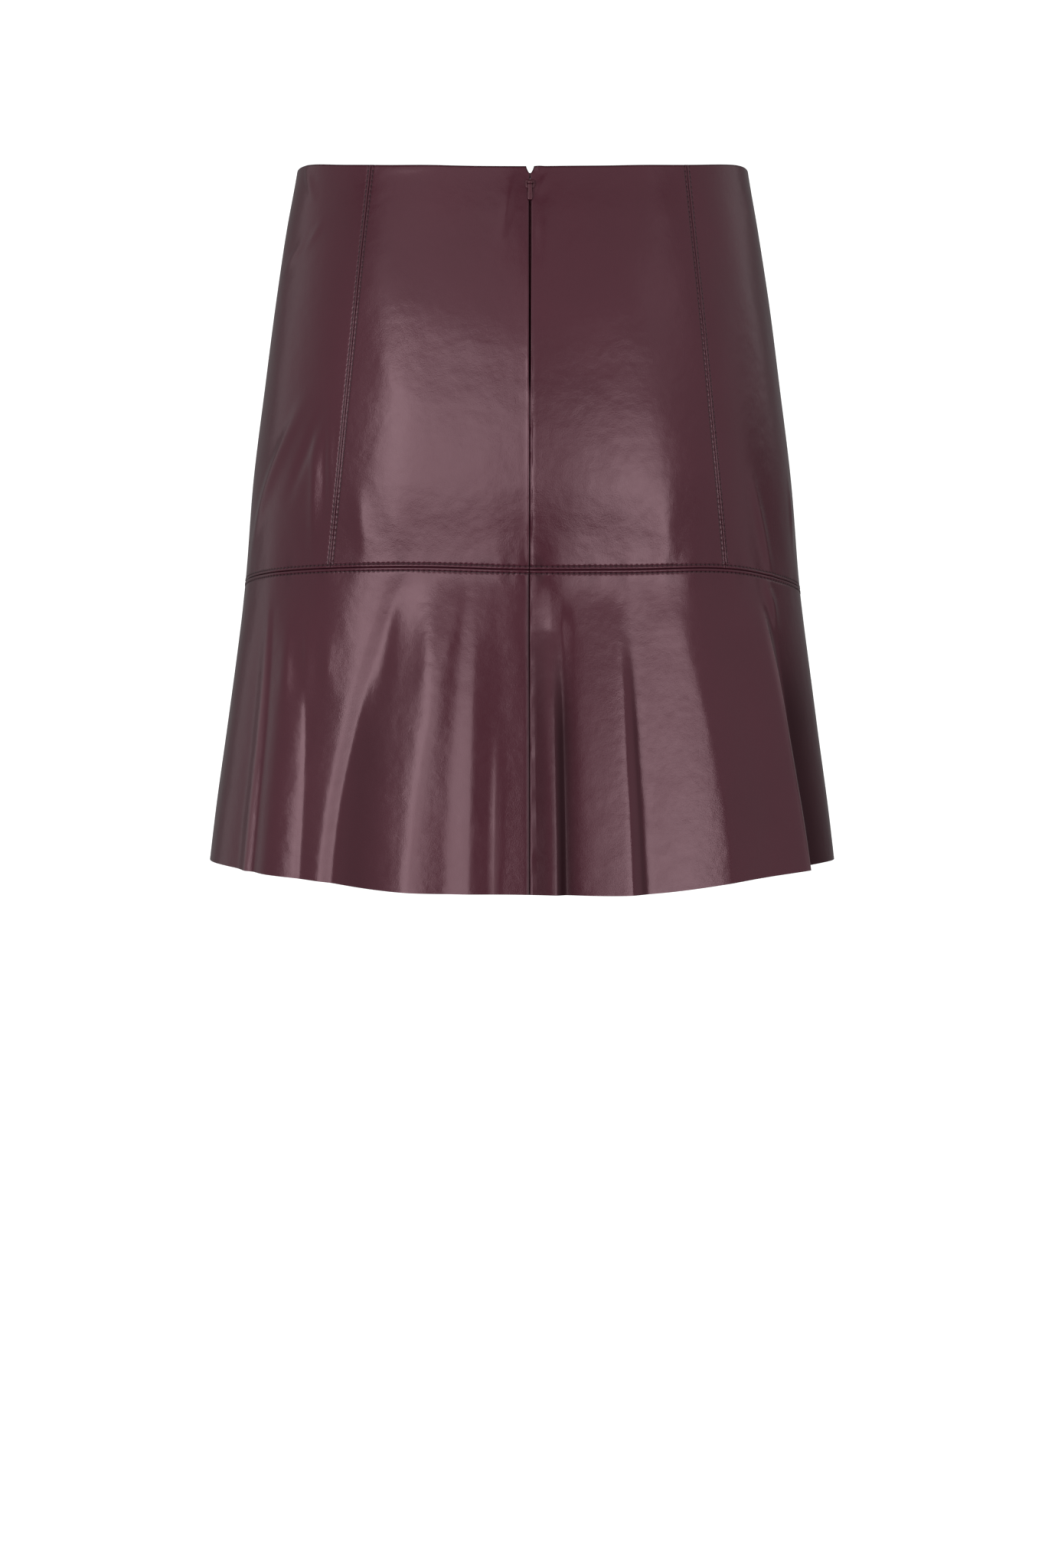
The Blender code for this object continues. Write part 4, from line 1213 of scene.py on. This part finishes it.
# ---------------------------------------------------------------- finishes
class Number:
    """A number on a socket.  Arithmetic on it adds Math nodes to its finish."""

    def __init__(self, finish, socket):
        self.finish = finish
        self.socket = socket

    def __add__(self, other):
        return self.finish.maths("ADD", self, other)

    def __sub__(self, other):
        return self.finish.maths("SUBTRACT", self, other)

    def __mul__(self, other):
        return self.finish.maths("MULTIPLY", self, other)

    def __radd__(self, other):
        return self.finish.maths("ADD", other, self)

    def __rsub__(self, other):
        return self.finish.maths("SUBTRACT", other, self)

    def __rmul__(self, other):
        return self.finish.maths("MULTIPLY", other, self)


class Finish:
    """A material with one Principled shader.  Keyword values are set on its sockets."""

    def __init__(self, name, **constants):
        self.material = bpy.data.materials.new(name)
        self.material.use_nodes = True
        self.tree = self.material.node_tree
        self.shader = self.tree.nodes["Principled BSDF"]
        for socket, value in constants.items():
            self.shader.inputs[socket.replace("_", " ")].default_value = value

    def feed(self, socket, value):
        """Links a number to a socket, or sets the socket to a plain value."""
        if isinstance(value, Number):
            self.tree.links.new(value.socket, socket)
        else:
            socket.default_value = value

    def node(self, kind, output=0, settings=None, inputs=None):
        """Any node: its settings first, then the values or links of its sockets."""
        node = self.tree.nodes.new("ShaderNode" + kind)
        for setting, value in (settings or {}).items():
            setattr(node, setting, value)
        for socket, value in (inputs or {}).items():
            self.feed(node.inputs[socket], value)
        return Number(self, node.outputs[output])

    def maths(self, operation, first, second=0.0):
        """One Math node."""
        return self.node("Math", settings={"operation": operation}, inputs={0: first, 1: second})

    def mix(self, share, first, second):
        """Two colours mixed by a number."""
        return self.node("Mix", "Result", {"data_type": "RGBA"},
                         {"Factor": share, 6: first, 7: second})

    def place(self):
        """The place on the piece, in metres."""
        return self.node("TexCoord", "Object")

    def map(self):
        """The place on the piece's own flat map."""
        return self.node("UVMap", "UV", {"uv_map": "cut"})

    def value(self, name):
        """One of the piece's own values, by its name."""
        return self.node("Attribute", "Fac", {"attribute_name": name})

    def noise(self, where, scale, detail=2.0):
        """Soft clouds from 0 to 1, so many to the metre."""
        return self.node("TexNoise", "Fac", None,
                         {"Vector": where, "Scale": scale, "Detail": detail})

    def fading(self, number, near, far):
        """1 below near, 0 beyond far, and a smooth S between."""
        return self.node("MapRange", 0, {"interpolation_type": "SMOOTHSTEP"},
                         {"Value": number, "From Min": near, "From Max": far,
                          "To Min": 1.0, "To Max": 0.0})

    def bump(self, height, distance, strength=1.0, under=None):
        """A relief of so many metres, laid on the one under it."""
        inputs = {"Height": height, "Distance": distance, "Strength": strength}
        if under is not None:
            inputs["Normal"] = under
        return self.node("Bump", "Normal", None, inputs)

    def with_painted_shade(self, share, colour):
        """Mixes a darker matt shader in by a number, as painted shade, and returns the material.
        """
        shade_shader = self.tree.nodes.new("ShaderNodeBsdfPrincipled")
        shade_shader.inputs["Base Color"].default_value = colour
        shade_shader.inputs["Roughness"].default_value = 0.6
        shade_shader.inputs["Specular IOR Level"].default_value = 0.1
        mixed = self.tree.nodes.new("ShaderNodeMixShader")
        self.feed(mixed.inputs[0], share)
        self.tree.links.new(self.shader.outputs[0], mixed.inputs[1])
        self.tree.links.new(shade_shader.outputs[0], mixed.inputs[2])
        output = self.tree.nodes["Material Output"]
        self.tree.links.new(mixed.outputs[0], output.inputs["Surface"])
        return self.material

    def wear(self, **links):
        """Links numbers to the shader's sockets and returns the material."""
        for socket, value in links.items():
            self.feed(self.shader.inputs[socket.replace("_", " ")], value)
        return self.material


def shade(colour, factor):
    """A colour made lighter or darker, as four numbers."""
    return (colour[0] * factor, colour[1] * factor, colour[2] * factor, 1.0)


PAINTED_GLINT_COLOUR = (0.190, 0.105, 0.120, 1.0)
HOLE_SHADE = (0.30, 0.85)        # the painted shade in a needle hole: its radius in millimetres, and where it has faded
DRAWN_IN = (0.2, 1.7)      # and the same for the dimple that the thread draws round it


def nappa(colour, gloss, grain_size, grain_depth, pitch):
    """Smooth dyed nappa: a fine pebble grain under a satin top coat, clouded a little in colour
    and gloss, and pricked by the needle once in each stitch's pitch.  Painted shade darkens it
    where seams turn it in, in the needle holes and in the depths of the folds, and a painted glint
    lightens it along sharp ridges."""
    finish = Finish("dyed nappa", IOR=1.5, Specular_Tint=(1.0, 0.69, 0.765, 1.0))
    where = finish.place()
    cloud = finish.noise(where, 16.0, 3.0)
    sunk = finish.value("sunk")
    fine = finish.noise(where, 260.0, 2.0)
    base = finish.mix(cloud, shade(colour, 0.86), shade(colour, 1.14))
    # painted shade: darker where seams and edges turn in
    base = finish.mix(sunk * 0.8, base, shade(colour, 0.16))
    from_hole = finish.maths("PINGPONG", finish.value("along_row"), pitch / 2.0)
    from_row = finish.value("from_row")
    from_prick = finish.maths("SQRT", from_hole * from_hole + from_row * from_row)
    hole = finish.fading(from_prick, *HOLE_SHADE)
    drawn_in = finish.fading(from_prick, *DRAWN_IN)
    pull = finish.value("pull")
    # painted shade in the needle holes
    base = finish.mix(hole * pull * 0.9, base, shade(colour, 0.10))
    # painted glint: paler along the sharp ridges
    base = finish.mix(finish.value("rubbed"), base, PAINTED_GLINT_COLOUR)
    cells = 1.0 / (grain_size * MM)
    pebble = finish.node("TexVoronoi", "Distance", {"feature": "SMOOTH_F1"},
                         {"Vector": where, "Scale": cells, "Smoothness": 0.6})
    pores = finish.noise(where, cells * 2.3, 2.0)
    grain = finish.bump((1.0 - pebble) + pores * 0.5, grain_depth * MM, 0.55)
    grain = finish.bump(1.0 - drawn_in * pull, 0.00015, 0.8, grain)
    grain = finish.bump(finish.noise(where, 70.0, 2.5), 0.0011, 0.3, grain)
    rough = gloss + (fine - 0.5) * 0.07 + (cloud - 0.5) * 0.08 + sunk * 0.15
    finish.wear(Base_Color=base, Roughness=rough, Normal=grain)
    # Painted shade: a darker matt shader mixed in at the fold depths, the turned-in edges and the
    # needle holes.
    painted_shade = finish.maths("MAXIMUM", finish.value("hollow"), sunk * 0.75)
    painted_shade = finish.maths("MAXIMUM", painted_shade, hole * pull * 0.6)
    return finish.with_painted_shade(painted_shade, shade(colour, 0.3))


def flesh_side(colour):
    """The hide's inner face: a short suede nap, lighter and matt."""
    finish = Finish("flesh side", IOR=1.4, Sheen_Weight=0.25, Sheen_Roughness=0.5)
    where = finish.place()
    cloud = finish.noise(where, 40.0, 4.0)
    nap = finish.noise(where, 1500.0, 3.0)
    base = finish.mix(cloud, shade(colour, 0.9), shade(colour, 1.5))
    return finish.wear(Base_Color=base, Roughness=0.86 + (nap - 0.5) * 0.1,
                       Normal=finish.bump(nap, 0.00012, 0.6))


def sewing_thread(colour):
    """Twisted polyester: two plies that wind round the thread as slanting ribs."""
    finish = Finish("sewing thread", IOR=1.5)
    ply = finish.node("TexWave", "Fac", {"wave_type": "BANDS", "bands_direction": "DIAGONAL"},
                      {"Vector": finish.map(), "Scale": 900.0, "Distortion": 0.0})
    base = finish.mix(ply, shade(colour, 0.75), shade(colour, 1.2))
    return finish.wear(Base_Color=base, Roughness=0.5 + ply * 0.1,
                       Normal=finish.bump(ply, 0.00005, 0.6))


def woven_tape(colour):
    """Zip tape: a close herringbone, its ribs slanting up and down in turn across it."""
    finish = Finish("woven tape", IOR=1.45, Specular_IOR_Level=0.2)
    split = finish.node("SeparateXYZ", 0, None, {"Vector": finish.map()})
    up = Number(finish, split.socket.node.outputs[1])
    zigzag = finish.node("Math", 0, {"operation": "PINGPONG"}, {0: split, 1: 0.0012})
    rib = finish.maths("SINE", (up + zigzag) * 9000.0) * 0.5 + 0.5
    fibre = finish.noise(finish.place(), 3000.0, 2.0)
    base = finish.mix(rib, shade(colour, 0.7), shade(colour, 1.25))
    return finish.wear(Base_Color=base, Roughness=0.75 + fibre * 0.15,
                       Normal=finish.bump(rib + fibre * 0.4, 0.00012, 0.7))


def coil_nylon(colour):
    """Moulded nylon wire: satin, a little uneven in its dye."""
    finish = Finish("coil nylon", IOR=1.53, Specular_IOR_Level=0.2)
    cloud = finish.noise(finish.place(), 700.0, 2.0)
    base = finish.mix(cloud, shade(colour, 0.8), shade(colour, 1.2))
    return finish.wear(Base_Color=base, Roughness=0.36 + (cloud - 0.5) * 0.12,
                       Normal=finish.bump(cloud, 0.00003, 0.4))


def enamel(colour):
    """Sprayed enamel on cast metal: a soft orange peel and slightly duller patches."""
    finish = Finish("painted metal", IOR=1.5, Coat_Roughness=0.12,
                    Specular_Tint=(1.0, 0.55, 0.62, 1.0))
    where = finish.place()
    peel = finish.noise(where, 2200.0, 2.0)
    cloud = finish.noise(where, 500.0, 2.0)
    base = finish.mix(cloud, shade(colour, 0.88), shade(colour, 1.15))
    return finish.wear(Base_Color=base, Roughness=0.26 + (cloud - 0.5) * 0.12,
                       Coat_Weight=0.2 + cloud * 0.1, Normal=finish.bump(peel, 0.00002, 0.35))


def stage_paper(name, brightness):
    """Matt white paper, lit from within a little so that it stays white."""
    finish = Finish(name, Specular_IOR_Level=0.1)
    tone = finish.noise(finish.place(), 0.7, 2.0)
    base = finish.mix(tone, (0.90, 0.90, 0.90, 1.0), (0.93, 0.93, 0.93, 1.0))
    glow = finish.shader.inputs["Emission Strength"]
    glow.default_value = brightness
    finish.shader.inputs["Emission Color"].default_value = (1.0, 1.0, 1.0, 1.0)
    return finish.wear(Base_Color=base, Roughness=0.9)


# ---------------------------------------------------------------- the stage
CAMERA_DISTANCE = 2.8
CAMERA_HEIGHT = -0.22
FRAME_HEIGHT = 1.0035      # how much of the skirt's plane the picture takes in, upright
AXIS_ROW = 665.0           # picture row level with the camera
PICTURE_ROWS = 2048.0
SENSOR = 36.0
FLOOR_HEIGHT = -1.0
FLOOR_HALF = 6.0

# Soft boxes on a circle round the skirt: where the middle of each stands (azimuth 0 is
# straight behind the wearer, towards the camera), its distance, the heights of its foot
# and head, its width, and the brightness of its face.
SoftBox = namedtuple("SoftBox", "name azimuth distance foot head width brightness")
SOFT_BOXES = (
    SoftBox("left_outer", -41.5, 3.3, -0.62, 0.70, 1.05, 4.9),
    SoftBox("left_inner", -20.5, 3.3, -0.70, 0.56, 1.42, 3.75),
    SoftBox("left_high", -37.0, 3.3, 0.30, 0.62, 1.60, 1.3),
    SoftBox("right_inner", 16.0, 3.3, -0.68, 0.30, 0.80, 2.0),
    SoftBox("right_outer", 35.0, 3.3, -0.68, 0.27, 1.40, 4.1),
    SoftBox("right_low", 31.0, 3.3, -0.68, -0.22, 1.70, 1.7),
    SoftBox("upper_left", -30.0, 3.3, 0.80, 3.4, 3.4, 1.0),
    SoftBox("upper_right", 30.0, 3.3, 0.55, 3.4, 3.4, 0.62),
    SoftBox("side_left", -88.0, 2.6, -0.9, 1.6, 4.6, 0.42),
    SoftBox("side_right", 78.0, 2.6, -0.9, 0.22, 2.1, 0.5),
    SoftBox("upper_side_right", 88.0, 2.6, 0.22, 1.9, 4.6, 0.46),
)


def make_camera():
    """Level with the hips, straight behind, its view shifted down to leave white below."""
    data = bpy.data.cameras.new("camera")
    data.sensor_width = SENSOR
    data.lens = SENSOR * CAMERA_DISTANCE / FRAME_HEIGHT
    data.shift_y = (AXIS_ROW - PICTURE_ROWS / 2.0) / PICTURE_ROWS
    camera = bpy.data.objects.new("camera", data)
    camera.location = (0.0, -CAMERA_DISTANCE, CAMERA_HEIGHT)
    camera.rotation_euler = (math.radians(90.0), 0.0, 0.0)
    bpy.context.scene.collection.objects.link(camera)
    bpy.context.scene.camera = camera


def make_lights(strength):
    """One area light for each soft box, facing the skirt.  Its power is its face's area
    times pi times its brightness."""
    for box in SOFT_BOXES:
        data = bpy.data.lights.new(box.name, "AREA")
        data.shape = "RECTANGLE"
        data.size = box.width
        data.size_y = box.head - box.foot
        data.energy = strength * math.pi * box.brightness * data.size * data.size_y
        light = bpy.data.objects.new(box.name, data)
        turn = math.radians(box.azimuth)
        light.location = (box.distance * math.sin(turn), -box.distance * math.cos(turn),
                          (box.head + box.foot) / 2.0)
        light.rotation_euler = (math.radians(90.0), 0.0, turn)
        light.visible_camera = False
        bpy.context.scene.collection.objects.link(light)


def make_floor(finish):
    """A level square of paper, as a grid of points."""
    line = np.linspace(-FLOOR_HALF, FLOOR_HALF, 13) / MM
    x, y = np.meshgrid(line, -line)
    points = np.stack([x, y, np.full(x.shape, FLOOR_HEIGHT / MM)], axis=-1)
    floor = new_piece("floor", points.reshape(-1, 3), [grid_faces(*x.shape)], [finish])
    floor.visible_diffuse = False
    floor.visible_glossy = False


def make_world(dimness):
    """White behind everything the camera sees, and dim in what lights the skirt."""
    world = bpy.data.worlds.new("studio")
    bpy.context.scene.world = world
    world.use_nodes = True
    tree = world.node_tree
    background = tree.nodes["Background"]
    seen = tree.nodes.new("ShaderNodeLightPath")
    level = tree.nodes.new("ShaderNodeMapRange")
    level.inputs["To Min"].default_value = dimness
    level.inputs["To Max"].default_value = 1.2
    tree.links.new(seen.outputs["Is Camera Ray"], level.inputs["Value"])
    tree.links.new(level.outputs["Result"], background.inputs["Strength"])
    background.inputs["Color"].default_value = (1.0, 1.0, 1.0, 1.0)


# ---------------------------------------------------------------- the add-on
class SkirtLeather(PropertyGroup):
    colour: FloatVectorProperty(
        name="Leather colour", description="Dye of the nappa", subtype="COLOR",
        default=(0.056, 0.0106, 0.0192), min=0.0, max=1.0)
    gloss: FloatProperty(
        name="Roughness", description="Lower is glossier", subtype="FACTOR",
        default=0.23, min=0.05, max=1.0)
    grain_size: FloatProperty(
        name="Grain size", description="Width of a pebble of the grain in millimetres",
        default=0.75, min=0.2, max=4.0)
    grain_depth: FloatProperty(
        name="Grain depth", description="Depth of the grain in millimetres",
        default=0.05, min=0.0, max=0.5)


class SkirtStitching(PropertyGroup):
    colour: FloatVectorProperty(
        name="Thread colour", description="Dye of the thread", subtype="COLOR",
        default=(0.040, 0.011, 0.017), min=0.0, max=1.0)
    pitch: FloatProperty(
        name="Stitch pitch", description="From one stitch to the next in millimetres",
        default=3.2, min=1.0, max=8.0)
    length: FloatProperty(
        name="Stitch length", description="Length of thread that shows in millimetres",
        default=2.5, min=0.5, max=7.0)
    radius: FloatProperty(
        name="Thread radius", description="Half the thread's thickness in millimetres",
        default=0.24, min=0.05, max=1.0)


class SkirtZip(PropertyGroup):
    tape_colour: FloatVectorProperty(
        name="Tape colour", description="Dye of the woven tapes", subtype="COLOR",
        default=(0.080, 0.014, 0.023), min=0.0, max=1.0)
    metal_colour: FloatVectorProperty(
        name="Metal colour", description="Enamel of the slider and pull", subtype="COLOR",
        default=(0.055, 0.013, 0.020), min=0.0, max=1.0)
    pitch: FloatProperty(
        name="Tooth pitch", description="From one tooth to the next in millimetres",
        default=1.15, min=0.6, max=3.0)
    wire: FloatProperty(
        name="Tooth wire", description="Thickness of the coil's wire in millimetres",
        default=0.48, min=0.2, max=0.8)


class SkirtStage(PropertyGroup):
    strength: FloatProperty(
        name="Light strength", description="Scales every soft box", default=1.0, min=0.0)
    paper: FloatProperty(
        name="Paper glow", description="Brightness added to the floor", default=1.0, min=0.0)
    dimness: FloatProperty(
        name="Room light", description="Brightness of the rest of the room",
        default=0.2, min=0.0)


class SKIRT_OT_body(Operator):
    """Make the five panels between the waist and the hip seam"""
    bl_idname = "skirt.body"
    bl_label = "Body panels"

    def execute(self, context):
        make_body(leather_finishes(context))
        return {"FINISHED"}


class SKIRT_OT_flounce(Operator):
    """Make the three pieces of the flounce with their folds"""
    bl_idname = "skirt.flounce"
    bl_label = "Flounce"

    def execute(self, context):
        make_flounce(leather_finishes(context))
        return {"FINISHED"}


class SKIRT_OT_topstitching(Operator):
    """Sew the rows of stitches along the hip and princess seams"""
    bl_idname = "skirt.topstitching"
    bl_label = "Topstitching"

    def execute(self, context):
        given = context.scene.skirt_stitching
        sizes = (given.pitch, given.length, given.radius)
        make_topstitching(sizes, sewing_thread(given.colour))
        return {"FINISHED"}


class SKIRT_OT_zip(Operator):
    """Make the woven tapes and the closed teeth behind the slit"""
    bl_idname = "skirt.zip"
    bl_label = "Zip tapes and teeth"

    def execute(self, context):
        given = context.scene.skirt_zip
        make_tapes(woven_tape(given.tape_colour))
        make_coil(given.pitch, given.wire, coil_nylon(given.tape_colour))
        return {"FINISHED"}


class SKIRT_OT_slider(Operator):
    """Make the zip's slider and its hanging pull"""
    bl_idname = "skirt.slider"
    bl_label = "Slider and pull"

    def execute(self, context):
        finish = enamel(context.scene.skirt_zip.metal_colour)
        make_slider(finish)
        make_pull(finish)
        return {"FINISHED"}


class SKIRT_OT_stage(Operator):
    """Set up the floor, the soft boxes, the room and the camera"""
    bl_idname = "skirt.stage"
    bl_label = "Stage"

    def execute(self, context):
        given = context.scene.skirt_stage
        make_floor(stage_paper("stage paper", given.paper))
        make_lights(given.strength)
        make_world(given.dimness)
        make_camera()
        context.scene.view_settings.view_transform = "Standard"
        return {"FINISHED"}


class SKIRT_PT_panel(Panel):
    bl_label = "Leather flounce skirt"
    bl_idname = "SKIRT_PT_panel"
    bl_space_type = "VIEW_3D"
    bl_region_type = "UI"
    bl_category = "Skirt"

    def draw(self, context):
        for group in GROUPS:
            box = self.layout.box()
            given = getattr(context.scene, group)
            for name in given.bl_rna.properties.keys():
                if name not in ("rna_type", "name"):
                    box.prop(given, name)
        for operator in OPERATORS:
            self.layout.operator(operator.bl_idname)


GROUPS = {
    "skirt_leather": SkirtLeather,
    "skirt_stitching": SkirtStitching,
    "skirt_zip": SkirtZip,
    "skirt_stage": SkirtStage,
}
OPERATORS = (SKIRT_OT_body, SKIRT_OT_flounce, SKIRT_OT_topstitching, SKIRT_OT_zip,
             SKIRT_OT_slider, SKIRT_OT_stage)


def leather_finishes(context):
    """The nappa and its flesh side, made once and shared by all the leather pieces."""
    made = [bpy.data.materials.get(name) for name in ("dyed nappa", "flesh side")]
    if None not in made:
        return made
    given = context.scene.skirt_leather
    pitch = context.scene.skirt_stitching.pitch
    return [nappa(given.colour, given.gloss, given.grain_size, given.grain_depth, pitch),
            flesh_side(given.colour)]


def register():
    """Adds the groups, the operators and the panel."""
    for group in GROUPS.values():
        bpy.utils.register_class(group)
    for operator in OPERATORS:
        bpy.utils.register_class(operator)
    bpy.utils.register_class(SKIRT_PT_panel)
    for name, group in GROUPS.items():
        setattr(bpy.types.Scene, name, PointerProperty(type=group))


def unregister():
    """Takes them away again, the other way round."""
    for name in GROUPS:
        delattr(bpy.types.Scene, name)
    bpy.utils.unregister_class(SKIRT_PT_panel)
    for operator in reversed(OPERATORS):
        bpy.utils.unregister_class(operator)
    for group in GROUPS.values():
        bpy.utils.unregister_class(group)


def main():
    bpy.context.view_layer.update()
    register()
    bpy.ops.skirt.body()
    bpy.ops.skirt.flounce()
    bpy.ops.skirt.topstitching()
    bpy.ops.skirt.zip()
    bpy.ops.skirt.slider()
    bpy.ops.skirt.stage()


if __name__ == "__main__":
    main()
